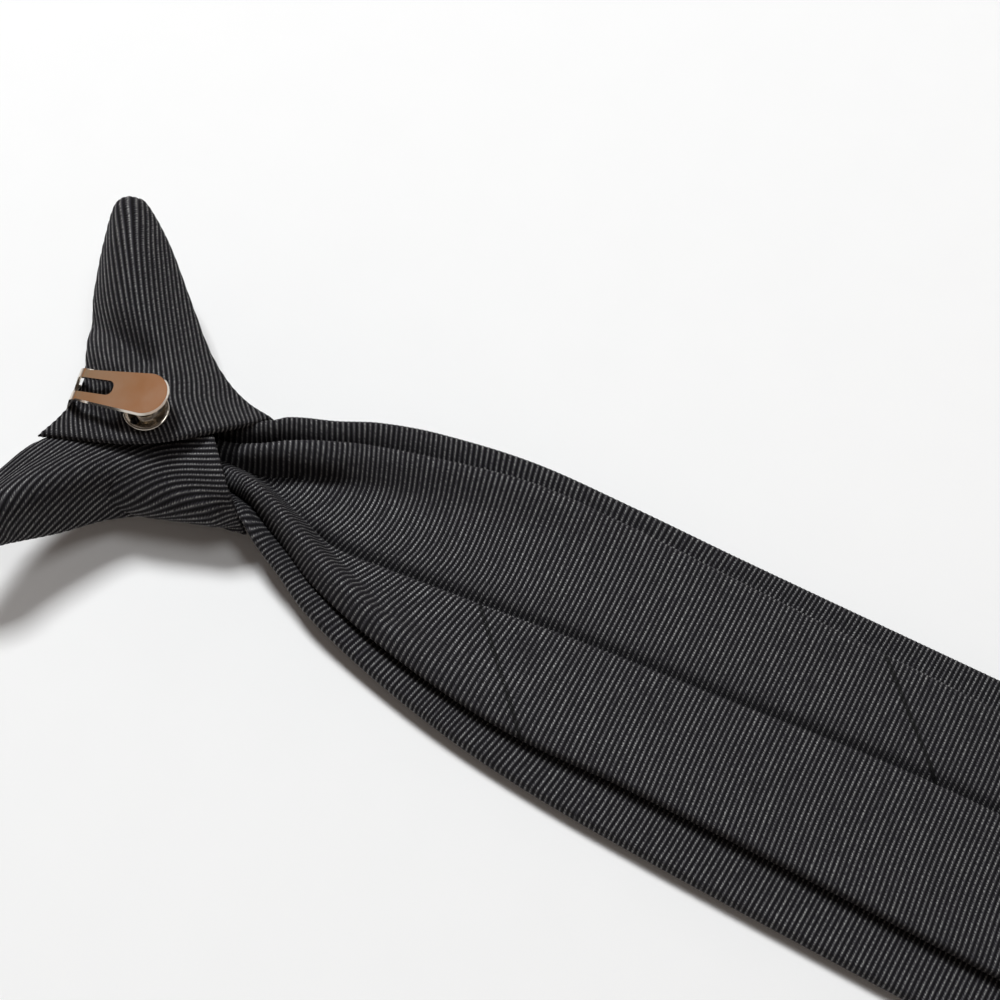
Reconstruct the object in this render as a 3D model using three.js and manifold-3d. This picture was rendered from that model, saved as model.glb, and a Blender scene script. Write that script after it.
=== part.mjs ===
// A pre-tied clip-on necktie of fine ribbed cloth, lying face down with its back up.
// Millimetres, +Z up. +X runs from the knot to the blades' points, +Y towards the upper wing,
// and the sizes below are measured from the middle of the knot's neck, where the blades come out.
import * as THREE from 'three';
import { mergeVertices } from 'three/addons/utils/BufferGeometryUtils.js';
import Module from 'manifold-3d';

const wasm = await Module();
wasm.setup();

// Driving dimensions
const TIE_LENGTH = 500; // knot's collar edge to the front blade's point
const KNOT_LENGTH = 49; // collar edge to neck
const FRONT_END = TIE_LENGTH - KNOT_LENGTH;
const FRONT_WIDTH = 81; // at its widest, before the point
const TAIL_END = 402;
const TAIL_WIDTH = 59;
const FRONT_HALF_THICK = 1.75; // folded cloth over its interlining, pressed flat
const TAIL_HALF_THICK = 1.5;
const PLEATED_HALF_THICK = 1.1; // where the blades are squeezed into the neck
const FRONT_ROLL = 2.3; // radius of the soft roll along the front blade's edges
const TAIL_ROLL = 1.9;
const NOTCH_MIDDLE = 0.34; // across the sleeve, as a part of its half width
const NOTCH_SPREAD = 1.15;
const CLEARANCE = 0.35; // between pieces that lie on each other
const FLOOR_PRESS = 0.45; // cloth that comes this near the floor rests on it
const LAP_STEP = 0.8; // the tail's near flap stands this much above the far one at its centre seam
const SEAM_SLOPE = 0.5; // width of that step
const POINT_BLUNT = 1.6; // width of the cloth at the very end of a blade's point
const EDGE_SWELL = 1.3; // a blade's edge is thicker than its middle, by this factor at most
const ROLL_REACH = 4; // a rolled edge has settled to the cloth's own thickness at this many radii
const EDGE_STEPS = [0, 0.12, 0.5, 1.1]; // where a roll is cut, as parts of its radius
const TIP_STEPS = [0.2, 0.15]; // first and last step along a wing, as parts of a whole one
const FRONT_LINES = 7; // lengthwise lines of the grid between the rolled edges
const TAIL_LINES = 9;
const WING_LINES = 6;
const LOWER_WING_RINGS = 12;
const UPPER_WING_RINGS = 13;
const SLEEVE_SIDES = 28;
const SLEEVE_RINGS = 9;
const ROUND_SIDES = 28;
const PIN_SIDES = 16;

// The front blade. near and far are its edges, skew leans the row's far side towards the knot,
// floor is the middle of the cloth at the bottom of the channel, and the rises lift its edges.
const FRONT_ROWS = [
  { x: -18, skew: -3.6, near: -8.5, far: 7.0, floor: 6.2, nearRise: 4.5, farRise: 5.0, foot: 0.4,
    half: PLEATED_HALF_THICK },
  { x: -8, skew: -3.6, near: -8.8, far: 8.2, floor: 5.8, nearRise: 5.5, farRise: 6.0, foot: 0.4,
    half: PLEATED_HALF_THICK },
  { x: 0, skew: -3.6, near: -9.4, far: 10.6, floor: 5.2, nearRise: 6.3, farRise: 7.4, foot: 0.4,
    half: PLEATED_HALF_THICK },
  { x: 3, skew: -4.4, near: -12.4, far: 15.0, floor: 4.4, nearRise: 6.2, farRise: 8.8, foot: 0.42,
    half: 1.2 },
  { x: 7, skew: -4.4, near: -15.2, far: 18.2, floor: 3.4, nearRise: 6.1, farRise: 9.4, foot: 0.45,
    half: 1.4 },
  { x: 13, skew: -3.6, near: -17.9, far: 21.3, floor: 2.4, nearRise: 6.0, farRise: 9.4, foot: 0.5,
    half: 1.6 },
  { x: 22, skew: -3.4, near: -22.8, far: 26.5, floor: 1.9, nearRise: 4.8, farRise: 8.0, foot: 0.55,
    half: FRONT_HALF_THICK },
  { x: 36, skew: -4.0, near: -27.3, far: 31.5, floor: 1.8, nearRise: 3.2, farRise: 6.0, foot: 0.6,
    half: FRONT_HALF_THICK },
  { x: 58, skew: -2.5, near: -31.8, far: 36.1, floor: 1.8, nearRise: 2.0, farRise: 3.6, foot: 0.7,
    half: FRONT_HALF_THICK },
  { x: 82, skew: 0, near: -34.9, far: 37.2, floor: 1.8, nearRise: 1.0, farRise: 1.8, foot: 0.8,
    half: FRONT_HALF_THICK },
  { x: 110, skew: 0, near: -36.8, far: 37.6, floor: 1.8, nearRise: 0.6, farRise: 0.9, foot: 0.9,
    half: FRONT_HALF_THICK },
  { x: 175, skew: 0, near: -38.2, far: 38.4, floor: 1.8, nearRise: 0.5, farRise: 0.5, foot: 0.9,
    half: FRONT_HALF_THICK },
  { x: 290, skew: 0, near: -39.6, far: 39.4, floor: 1.8, nearRise: 0.5, farRise: 0.5, foot: 0.9,
    half: FRONT_HALF_THICK },
  { x: 411, skew: 0, near: -40.5, far: 40.5, floor: 1.8, nearRise: 0.5, farRise: 0.5, foot: 0.9,
    half: FRONT_HALF_THICK },
  { x: FRONT_END, skew: 0, near: -40.5, far: 40.5, floor: 1.8, nearRise: 0.5, farRise: 0.5, foot: 0.9,
    half: FRONT_HALF_THICK },
];

// The tail blade. valley is the bottom of its hollow, floor the cloth's height there, farRise lifts
// the far edge, crest, crestRise and spread shape the roll that runs along the near edge, and lap
// is how far the near flap lies above the far one along the seam.
const TAIL_ROWS = [
  { x: -16, skew: -2.6, near: -5.0, far: 3.4, valley: 0.5, floor: 9.2, farRise: 2.0, crest: -3.4,
    crestRise: 2.6, spread: 3.0, half: PLEATED_HALF_THICK, seam: -0.5, lap: 0 },
  { x: -7, skew: -2.6, near: -5.6, far: 5.0, valley: 0.5, floor: 8.9, farRise: 3.2, crest: -3.4,
    crestRise: 4.0, spread: 3.0, half: PLEATED_HALF_THICK, seam: -0.5, lap: 0 },
  { x: 0, skew: -2.4, near: -7.2, far: 6.8, valley: 0.8, floor: 8.6, farRise: 4.2, crest: -4.8,
    crestRise: 5.2, spread: 3.2, half: PLEATED_HALF_THICK, seam: -1.0, lap: 0 },
  { x: 6, skew: -3.0, near: -10.6, far: 11.6, valley: 1.5, floor: 7.0, farRise: 5.2, crest: -7.4,
    crestRise: 6.0, spread: 3.8, half: 1.2, seam: -1.6, lap: 0.2 },
  { x: 13, skew: -3.2, near: -13.6, far: 15.8, valley: 2.5, floor: 6.1, farRise: 4.9, crest: -10.4,
    crestRise: 5.4, spread: 4.4, half: 1.35, seam: -4.2, lap: 0.5 },
  { x: 22, skew: -3.2, near: -17.6, far: 20.2, valley: 3.0, floor: 5.75, farRise: 3.7, crest: -13.5,
    crestRise: 3.8, spread: 4.8, half: TAIL_HALF_THICK, seam: -6.3, lap: LAP_STEP },
  { x: 38, skew: -4.0, near: -21.6, far: 24.8, valley: 4.0, floor: 5.75, farRise: 2.3, crest: -17.0,
    crestRise: 1.9, spread: 5.5, half: TAIL_HALF_THICK, seam: -4.9, lap: LAP_STEP },
  { x: 60, skew: -2.0, near: -25.0, far: 30.2, valley: 6.0, floor: 5.75, farRise: 1.0, crest: -20.5,
    crestRise: 0.8, spread: 6.0, half: TAIL_HALF_THICK, seam: -2.8, lap: LAP_STEP },
  { x: 84, skew: 0, near: -26.8, far: 31.4, valley: 8.0, floor: 5.75, farRise: 0.4, crest: -22.0,
    crestRise: 0.5, spread: 6.0, half: TAIL_HALF_THICK, seam: -0.2, lap: LAP_STEP },
  { x: 110, skew: 0, near: -25.8, far: 31.0, valley: 8.0, floor: 5.75, farRise: 0.4, crest: -22.0,
    crestRise: 0.5, spread: 6.0, half: TAIL_HALF_THICK, seam: 2.1, lap: LAP_STEP },
  { x: 175, skew: 0, near: -25.5, far: 30.0, valley: 8.0, floor: 5.75, farRise: 0.4, crest: -22.0,
    crestRise: 0.5, spread: 6.0, half: TAIL_HALF_THICK, seam: 7.2, lap: LAP_STEP },
  { x: 290, skew: 0, near: -27.5, far: 29.0, valley: 8.0, floor: 5.75, farRise: 0.4, crest: -24.0,
    crestRise: 0.5, spread: 6.0, half: TAIL_HALF_THICK, seam: 6.0, lap: LAP_STEP },
  { x: 372, skew: 0, near: -29.5, far: 29.5, valley: 8.0, floor: 5.75, farRise: 0.4, crest: -25.0,
    crestRise: 0.5, spread: 6.0, half: TAIL_HALF_THICK, seam: 3.0, lap: LAP_STEP },
  { x: TAIL_END, skew: 0, near: -29.5, far: 29.5, valley: 8.0, floor: 5.75, farRise: 0.4, crest: -25.0,
    crestRise: 0.5, spread: 6.0, half: TAIL_HALF_THICK, seam: 0, lap: LAP_STEP },
];

// The upper wing and its back panel, from the wing's tip to the folded edge over the sleeve:
// the visible surface at the collar side, in the middle and at the outer edge, how far it bulges
// between the last two, and half the padding.
const UPPER_WING_ROWS = [
  { collar: [-62.7, 43.6, 26.0], middle: [-60.6, 44.4, 27.0], outer: [-58.6, 45.6, 26.0],
    bulge: 0, half: 1.6 },
  { collar: [-62.6, 40.1, 25.5], middle: [-58.8, 41.9, 27.5], outer: [-55.3, 43.9, 25.0],
    bulge: 0, half: 2.4 },
  { collar: [-61.7, 35.4, 25.0], middle: [-56.2, 38.2, 27.5], outer: [-51.7, 41.8, 23.5],
    bulge: 0, half: 2.6 },
  { collar: [-59.7, 28.2, 24.5], middle: [-52.0, 32.2, 27.0], outer: [-45.7, 37.3, 22.0],
    bulge: 0, half: 2.6 },
  { collar: [-54.8, 16.4, 23.5], middle: [-44.6, 22.3, 25.4], outer: [-35.9, 29.4, 19.0],
    bulge: 0.2, half: 2.2 },
  { collar: [-49.2, 4.7, 22.5], middle: [-36.6, 12.6, 23.8], outer: [-25.6, 21.2, 17.0],
    bulge: 0.6, half: 1.6 },
  { collar: [-46.2, -3.7, 21.5], middle: [-30.4, 5.2, 22.9], outer: [-17.5, 16.8, 15.0],
    bulge: 1.2, half: 1.3 },
  { collar: [-46.3, -11.4, 21.0], middle: [-26.6, 0.0, 22.6], outer: [-10.5, 14.6, 13.5],
    bulge: 1.7, half: 1.1 },
  { collar: [-46.9, -18.3, 20.5], middle: [-19.2, -6.6, 22.2], outer: [-3.6, 14.2, 12.5],
    bulge: 1.9, half: 1.1 },
];

// The lower wing and its panel, from the wing's tip to the neck's rim, in the same columns.
const LOWER_WING_ROWS = [
  { collar: [-52.8, -49.0, 21.0], middle: [-51.2, -49.8, 22.0], outer: [-50.0, -50.2, 21.0],
    bulge: 0, half: 1.6 },
  { collar: [-52.3, -43.6, 21.0], middle: [-49.2, -46.4, 22.5], outer: [-47.5, -49.0, 19.5],
    bulge: 0, half: 2.3 },
  { collar: [-51.5, -36.0, 20.8], middle: [-46.6, -41.3, 22.5], outer: [-42.9, -45.0, 17.5],
    bulge: 0, half: 2.6 },
  { collar: [-50.2, -29.1, 20.5], middle: [-44.6, -36.5, 21.8], outer: [-40.6, -41.6, 15.5],
    bulge: 0.3, half: 2.6 },
  { collar: [-47.0, -18.8, 19.6], middle: [-39.6, -27.8, 20.5], outer: [-34.2, -34.6, 12.5],
    bulge: 0.8, half: 2.2 },
  { collar: [-37.5, -9.5, 19.4], middle: [-30.6, -18.6, 19.3], outer: [-26.1, -25.5, 11.0],
    bulge: 1.0, half: 1.6 },
  { collar: [-25.5, -3.5, 19.3], middle: [-19.2, -11.4, 18.6], outer: [-14.5, -17.7, 10.0],
    bulge: 1.0, half: 1.3 },
  { collar: [-11.2, 1.3, 19.0], middle: [-2.7, -6.3, 17.4], outer: [3.4, -12.6, 8.0],
    bulge: 1.0, half: 1.1 },
];

// The sleeve round the knot, from the collar edge to the neck. The near and far columns are the
// ends of its widest line, power squares its section up, and notch draws its back away from the neck.
const SLEEVE_ROWS = [
  { near: [-44.9, -26.0], far: [-50.1, 17.3], bottom: -0.4, top: 19.2, power: 3.0, wall: 2.2, notch: 0 },
  { near: [-34.0, -22.6], far: [-39.5, 17.0], bottom: -0.3, top: 19.3, power: 2.7, wall: 2.2, notch: 0 },
  { near: [-21.5, -18.6], far: [-28.5, 16.2], bottom: 0.0, top: 19.1, power: 2.4, wall: 2.2, notch: 2.0 },
  { near: [-9.5, -15.4], far: [-17.0, 14.8], bottom: 0.6, top: 18.5, power: 2.2, wall: 1.9, notch: 6.0 },
  { near: [4.1, -12.3], far: [-4.1, 12.9], bottom: 1.2, top: 17.8, power: 2.0, wall: 1.6, notch: 11.5 },
];

// The clip: a strip bent at the collar edge, with its slotted plate above the panel,
// its leg in the sleeve's mouth and its tongue under the panel.
const CLIP_BEND = [-44.2, -4.6, 25.9]; // middle of the bend, on top of the plate
const CLIP_YAW = 13.5; // degrees, plate's direction from +X towards +Y
const CLIP_PLATE_LENGTH = 23.4;
const CLIP_PLATE_RISE = 4.6; // free end above the bend
const CLIP_BEND_WIDTH = 8.4;
const CLIP_END_WIDTH = 11.2;
const CLIP_STRIP = 0.75;
const CLIP_BEND_RADIUS = 1.3;
const CLIP_LEG_OUT = 3.4; // leg's foot beyond the bend
const CLIP_LEG_DOWN = 10.5;
const CLIP_SLOT_LENGTH = 9.6;
const CLIP_SLOT_WIDTH = 3.8;
const CLIP_SLOT_DOWN = 6.0; // how far the slot runs down the leg
const CLIP_SLOT_CORNER = 1.5;
const CLIP_BEYOND = 3; // how far the cutting outlines run past the bend's leg
const CLIP_TALL = 20; // half the height of the cutting outlines
const GRIP_AT = 17.8; // grip disc's centre from the bend, along the plate
const GRIP_ASIDE = -1.9; // and across it
const GRIP_RADIUS = 5.4;
const GRIP_BASE = 23.3; // underside of the grip disc
const GRIP_RIM = 1.7; // height of its rim
const GRIP_FLOOR = 0.8; // thickness of its floor
const GRIP_WALL = 0.6; // thickness of its rim
const GRIP_BOSS_RADIUS = 2.3;
const GRIP_BOSS_RISE = 1.3;
const GRIP_ROUND = 0.3; // its slopes and chamfers, each way
const GRIP_POST_RADIUS = 1.7;
const GRIP_NOTCHES = 3;
const GRIP_NOTCH_RADIUS = 1.0;
const LEG_ROOM_OUT = 8; // the leg's notch in the cloth is open this far past the bend
const SLEEVE_OVERRUN = 6; // the hollow's cutting shape runs this far past the sleeve's ends

// Value of a column at a place between rows, by cubic curves that pass through every row
function between(places, values, place) {
  const last = places.length - 1;
  let k = 0;
  while (k < last - 1 && place > places[k + 1]) k += 1;
  const slope = (i) => {
    const a = Math.max(i - 1, 0);
    const b = Math.min(i + 1, last);
    return (values[b] - values[a]) / (places[b] - places[a]);
  };
  const span = places[k + 1] - places[k];
  const t = THREE.MathUtils.clamp((place - places[k]) / span, 0, 1);
  const rise = values[k + 1] - values[k];
  const start = slope(k) * span;
  const end = slope(k + 1) * span;
  return values[k] + t * (start + t * (3 * rise - 2 * start - end + t * (start + end - 2 * rise)));
}

// All columns of a table at one place; a column holds a number or a list of numbers
function rowAt(rows, places, place) {
  const row = {};
  for (const name of Object.keys(rows[0])) {
    const column = rows.map((each) => each[name]);
    row[name] = Array.isArray(column[0])
      ? column[0].map((_, axis) => between(places, column.map((point) => point[axis]), place))
      : between(places, column, place);
  }
  return row;
}

// Indices of a closed skin over a grid of points: one row of points per ring
function ringIndices(rings, perRing) {
  const index = [];
  for (let i = 0; i < rings - 1; i += 1) {
    for (let j = 0; j < perRing; j += 1) {
      const next = (j + 1) % perRing;
      const a = i * perRing + j;
      const b = i * perRing + next;
      index.push(a, b, b + perRing, a, b + perRing, a + perRing);
    }
  }
  return index;
}

// Half the cloth's thickness at a distance from its edge: a round roll that settles to the middle
function rolledHalf(distance, roll, half) {
  if (distance <= 0) return 0;
  if (distance < roll) return roll * Math.sqrt(1 - (1 - distance / roll) ** 2);
  return half + (roll - half) * (1 - THREE.MathUtils.smoothstep(distance, roll, ROLL_REACH * roll));
}

// A padded sheet: a middle surface at(u, v), thickened both ways along its normal by half(u, v),
// which is nothing along its border, so that every edge is a soft roll. lap(u, v) raises its top.
function paddedSheet(at, half, uSteps, vSteps, lap = () => 0) {
  const tiny = 1e-3;
  const normalAt = (u, v) => {
    const u0 = Math.max(u - tiny, 0);
    const u1 = Math.min(u + tiny, 1);
    const v0 = Math.max(v - tiny, 0);
    const v1 = Math.min(v + tiny, 1);
    const along = at(u1, v).sub(at(u0, v));
    const across = at(u, v1).sub(at(u, v0));
    return along.cross(across).normalize();
  };
  const points = [];
  const top = [];
  const bottom = [];
  uSteps.forEach((u, i) => {
    top.push([]);
    bottom.push([]);
    vSteps(u).forEach((v, j, all) => {
      const border = i === 0 || i === uSteps.length - 1 || j === 0 || j === all.length - 1;
      const middle = at(u, v);
      if (border) {
        top[i].push(points.length);
        bottom[i].push(points.length);
        points.push(middle);
        return;
      }
      const lift = normalAt(u, v).multiplyScalar(half(u, v));
      top[i].push(points.length);
      points.push(middle.clone().add(lift).add(new THREE.Vector3(0, 0, lap(u, v))));
      bottom[i].push(points.length);
      const under = middle.clone().sub(lift);
      if (under.z < FLOOR_PRESS) under.z = 0;
      points.push(under);
    });
  });
  const index = [];
  for (let i = 0; i < top.length - 1; i += 1) {
    for (let j = 0; j < top[i].length - 1; j += 1) {
      const quad = (grid) => [grid[i][j], grid[i + 1][j], grid[i + 1][j + 1], grid[i][j + 1]];
      const [a, b, c, d] = quad(top);
      const [e, f, g, h] = quad(bottom);
      index.push(a, b, c, a, c, d, e, g, f, e, h, g);
    }
  }
  return solidGeometry(points, index);
}

function solidGeometry(points, index) {
  const geometry = new THREE.BufferGeometry();
  const flat = points.flatMap((point) => [point.x, point.y, point.z]);
  geometry.setAttribute('position', new THREE.Float32BufferAttribute(flat, 3));
  geometry.setIndex(index);
  return geometry;
}

const evenly = (from, to, count) =>
  Array.from({ length: count }, (_, k) => from + ((to - from) * (k + 1)) / (count + 1));

// Steps across a sheet of a given width: close together on the two rolled edges, even between them,
// or even on each side of a seam that has a pair of its own
function acrossSteps(width, roll, inner, seam = null) {
  const onRoll = EDGE_STEPS.map((part) => (part * Math.min(roll, width / 4)) / width);
  const first = onRoll[onRoll.length - 1];
  const slope = SEAM_SLOPE / 2 / width;
  const half = Math.floor(inner / 2);
  const middle = seam === null
    ? evenly(first, 1 - first, inner)
    : [...evenly(first, seam - slope, half), seam - slope, seam + slope,
      ...evenly(seam + slope, 1 - first, inner - half)];
  return [...onRoll, ...middle, ...onRoll.map((part) => 1 - part).reverse()];
}

// Steps along a blade, from a list of stretches: where each ends, and how many steps it takes
function alongSteps(stretches) {
  const steps = [stretches[0].to];
  stretches.slice(1).forEach((stretch, k) => {
    const from = stretches[k].to;
    steps.push(...evenly(from, stretch.to, stretch.steps - 1), stretch.to);
  });
  return steps;
}

// A blade as a padded sheet: its section's height comes from the row, and its end is a right-angled point
function blade(rows, heightAt, { end, roll, stretches, inner, seamed = false }) {
  const places = rows.map((row) => row.x);
  const start = places[0];
  const xAt = (u) => start + u * (end - start);
  const rowOf = (u) => rowAt(rows, places, xAt(u));
  const widthOf = (u) => {
    const row = rowOf(u);
    return Math.min(row.far - row.near, 2 * (end - xAt(u)) + POINT_BLUNT);
  };
  const middleOf = (u) => (rowOf(u).far + rowOf(u).near) / 2;
  const at = (u, v) => {
    const row = rowOf(u);
    const y = middleOf(u) + (v - 0.5) * widthOf(u);
    const side = 2 * v - 1;
    return new THREE.Vector3(xAt(u) + row.skew * side, y, heightAt(row, y, side));
  };
  const thickness = (u, v) => {
    const row = rowOf(u);
    const width = widthOf(u);
    const soft = Math.min(EDGE_SWELL * row.half, roll, width / 4);
    const half = Math.min(row.half, soft);
    const fromEdge = Math.min(v, 1 - v) * width;
    const fromEnd = Math.min(xAt(u) - start, end - xAt(u)) + POINT_BLUNT / 2;
    return Math.min(rolledHalf(fromEdge, soft, half), rolledHalf(fromEnd, soft, half));
  };
  const seamOf = (u) => (seamed ? 0.5 + (rowOf(u).seam - middleOf(u)) / widthOf(u) : null);
  const lap = (u, v) => (seamed && v < seamOf(u) ? (rowOf(u).lap * thickness(u, v)) / rowOf(u).half : 0);
  const uSteps = alongSteps(stretches).map((x) => (x - start) / (end - start));
  const vSteps = (u) => acrossSteps(widthOf(u), roll, inner, seamOf(u));
  return paddedSheet(at, thickness, uSteps, vSteps, lap);
}

// Where a blade's steps change: inside the neck, as it opens, as it flattens, and at its point
const bladeStretches = (rows, end, width) => [
  { to: rows[0].x }, { to: -4, steps: 3 }, { to: 30, steps: 12 }, { to: 110, steps: 12 },
  { to: end - width / 2, steps: 12 }, { to: end, steps: 6 },
];

function frontBlade() {
  const lift = (side, foot) => Math.max(0, (side - foot) / (1 - foot)) ** 2;
  const heightAt = (row, y, side) =>
    row.floor + row.nearRise * lift(-side, row.foot) + row.farRise * lift(side, row.foot);
  const stretches = bladeStretches(FRONT_ROWS, FRONT_END, FRONT_WIDTH);
  return blade(FRONT_ROWS, heightAt, { end: FRONT_END, roll: FRONT_ROLL, stretches, inner: FRONT_LINES });
}

function tailBlade() {
  const heightAt = (row, y) => {
    const up = THREE.MathUtils.clamp((y - row.valley) / (row.far - row.valley), 0, 1);
    const roll = Math.exp(-(((y - row.crest) / row.spread) ** 2));
    return row.floor + row.farRise * up ** 1.5 + row.crestRise * roll;
  };
  const stretches = bladeStretches(TAIL_ROWS, TAIL_END, TAIL_WIDTH);
  const shape = { end: TAIL_END, roll: TAIL_ROLL, stretches, inner: TAIL_LINES, seamed: true };
  return blade(TAIL_ROWS, heightAt, shape);
}

// A wing and its panel as a padded sheet, from the wing's tip along its ribs
function wing(rows, along) {
  const places = rows.map((_, k) => k / (rows.length - 1));
  const rowOf = (u) => rowAt(rows, places, u);
  const at = (u, v) => {
    const row = rowOf(u);
    const line = [row.collar, row.middle, row.outer];
    const [x, y, z] = [0, 1, 2].map((axis) => between([0, 0.5, 1], line.map((point) => point[axis]), v));
    const bulge = row.bulge * Math.sin(2 * Math.PI * Math.max(v - 0.5, 0));
    return new THREE.Vector3(x, y, z + bulge - row.half);
  };
  const widthOf = (u) => at(u, 0).distanceTo(at(u, 1));
  const thickness = (u, v) => {
    const { half } = rowOf(u);
    const fromEdge = Math.min(v, 1 - v) * widthOf(u);
    const fromTip = Math.min(at(u, 0.5).distanceTo(at(0, 0.5)), at(u, 0.5).distanceTo(at(1, 0.5)));
    return Math.min(rolledHalf(fromEdge, half, half), rolledHalf(fromTip, half, half));
  };
  const [first, last] = TIP_STEPS.map((part) => part / along);
  const uSteps = [0, first, ...evenly(0, 1, along - 1), 1 - last, 1];
  return paddedSheet(at, thickness, uSteps, (u) => acrossSteps(widthOf(u), rowOf(u).half, WING_LINES));
}

// The sleeve's skin, grown by a margin or shrunk by its wall, and run on past its ends
function sleeveSkin({ margin = 0, inside = false, overrun = 0 }) {
  const around = SLEEVE_SIDES;
  const places = SLEEVE_ROWS.map((_, k) => k / (SLEEVE_ROWS.length - 1));
  const points = [];
  const addRing = (u, shift) => {
    const row = rowAt(SLEEVE_ROWS, places, u);
    const near = new THREE.Vector2(...row.near);
    const far = new THREE.Vector2(...row.far);
    const centre = near.clone().add(far).multiplyScalar(0.5);
    const across = far.clone().sub(near).normalize();
    const ahead = new THREE.Vector2(across.y, -across.x);
    const grown = inside ? -row.wall : margin;
    const halfWidth = near.distanceTo(far) / 2 + grown;
    const halfHeight = (row.top - row.bottom) / 2 + grown;
    for (let k = 0; k < around; k += 1) {
      const angle = (2 * Math.PI * k) / around;
      const bend = (value) => Math.sign(value) * Math.abs(value) ** (2 / row.power);
      const side = bend(Math.cos(angle));
      const rise = bend(Math.sin(angle));
      const cut = Math.exp(-(((side - NOTCH_MIDDLE) / NOTCH_SPREAD) ** 2)) * Math.max(rise, 0) ** 0.7;
      const forward = shift - (inside ? 0 : row.notch * cut);
      const height = Math.max((row.top + row.bottom) / 2 + halfHeight * rise, 0);
      points.push(new THREE.Vector3(
        centre.x + across.x * side * halfWidth + ahead.x * forward,
        centre.y + across.y * side * halfWidth + ahead.y * forward,
        height));
    }
  };
  if (overrun > 0) addRing(0, -overrun);
  for (let i = 0; i < SLEEVE_RINGS; i += 1) addRing(i / (SLEEVE_RINGS - 1), 0);
  if (overrun > 0) addRing(1, overrun);
  const count = points.length / around;
  const index = ringIndices(count, around);
  const last = (count - 1) * around;
  for (let k = 1; k < around - 1; k += 1) index.push(0, k + 1, k, last, last + k, last + k + 1);
  return solidGeometry(points, index);
}

function solid(geometry) {
  const clean = geometry.clone();
  clean.deleteAttribute('normal');
  clean.deleteAttribute('uv');
  const merged = mergeVertices(clean, 1e-4);
  const body = new wasm.Manifold(new wasm.Mesh({
    numProp: 3,
    vertProperties: Float32Array.from(merged.attributes.position.array),
    triVerts: Uint32Array.from(merged.index.array),
  }));
  return body.volume() < 0 ? solid(flipped(merged)) : body;
}

function flipped(geometry) {
  const turned = geometry.clone();
  const { array } = turned.index;
  for (let k = 0; k < array.length; k += 3) [array[k], array[k + 1]] = [array[k + 1], array[k]];
  return turned;
}

function geometryOf(body) {
  const { vertProperties, triVerts } = body.getMesh();
  const geometry = new THREE.BufferGeometry();
  geometry.setAttribute('position', new THREE.BufferAttribute(Float32Array.from(vertProperties), 3));
  geometry.setIndex(new THREE.BufferAttribute(Uint32Array.from(triVerts), 1));
  return geometry;
}

// The clip's own frame: the bend at its origin, the plate along +X in plan
function placeClip(geometry) {
  const [x, y, z] = CLIP_BEND;
  return geometry.rotateZ(THREE.MathUtils.degToRad(CLIP_YAW)).translate(x, y, z);
}

function gripPost(radius, from, to) {
  const post = new THREE.CylinderGeometry(radius, radius, to - from, PIN_SIDES);
  post.rotateX(Math.PI / 2).translate(GRIP_AT, GRIP_ASIDE, (from + to) / 2 - CLIP_BEND[2]);
  return solid(placeClip(post));
}

// Side view of the bent strip, as a closed outline: plate, bend, leg, bend, tongue
function stripOutline() {
  const past = 1; // the plan outline trims the plate's end
  const corners = [
    new THREE.Vector2(CLIP_PLATE_LENGTH, CLIP_PLATE_RISE).multiplyScalar(1 + past / CLIP_PLATE_LENGTH),
    new THREE.Vector2(0, 0),
    new THREE.Vector2(-CLIP_LEG_OUT, -CLIP_LEG_DOWN),
    new THREE.Vector2(GRIP_AT + GRIP_POST_RADIUS + past, -CLIP_LEG_DOWN),
  ];
  const path = [corners[0]];
  for (let k = 1; k < corners.length - 1; k += 1) {
    const back = corners[k - 1].clone().sub(corners[k]).setLength(CLIP_BEND_RADIUS).add(corners[k]);
    const on = corners[k + 1].clone().sub(corners[k]).setLength(CLIP_BEND_RADIUS).add(corners[k]);
    path.push(...new THREE.QuadraticBezierCurve(back, corners[k], on).getPoints(6));
  }
  path.push(corners[corners.length - 1]);
  const inner = path.map((point, k) => {
    const before = path[Math.max(k - 1, 0)];
    const after = path[Math.min(k + 1, path.length - 1)];
    const way = after.clone().sub(before).normalize();
    return new THREE.Vector2(point.x - way.y * CLIP_STRIP, point.y + way.x * CLIP_STRIP);
  });
  return new THREE.Shape([...path, ...inner.reverse()]);
}

// Plan view of the strip: narrow at the bend, widening to its round end
function plateOutline() {
  const bend = CLIP_BEND_WIDTH / 2;
  const end = CLIP_END_WIDTH / 2;
  const start = -CLIP_LEG_OUT - CLIP_BEYOND;
  const shape = new THREE.Shape();
  shape.moveTo(start, -bend);
  shape.lineTo(1, -bend);
  shape.lineTo(CLIP_PLATE_LENGTH - end, -end);
  shape.absarc(CLIP_PLATE_LENGTH - end, 0, end, -Math.PI / 2, Math.PI / 2, false);
  shape.lineTo(1, bend);
  shape.lineTo(start, bend);
  return shape;
}

function roundedSlot() {
  const half = CLIP_SLOT_WIDTH / 2;
  const corner = CLIP_SLOT_CORNER;
  const start = -CLIP_LEG_OUT - CLIP_BEYOND;
  const shape = new THREE.Shape();
  shape.moveTo(start, -half);
  shape.lineTo(CLIP_SLOT_LENGTH - corner, -half);
  shape.absarc(CLIP_SLOT_LENGTH - corner, -half + corner, corner, -Math.PI / 2, 0, false);
  shape.absarc(CLIP_SLOT_LENGTH - corner, half - corner, corner, 0, Math.PI / 2, false);
  shape.lineTo(start, half);
  return shape;
}

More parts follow.
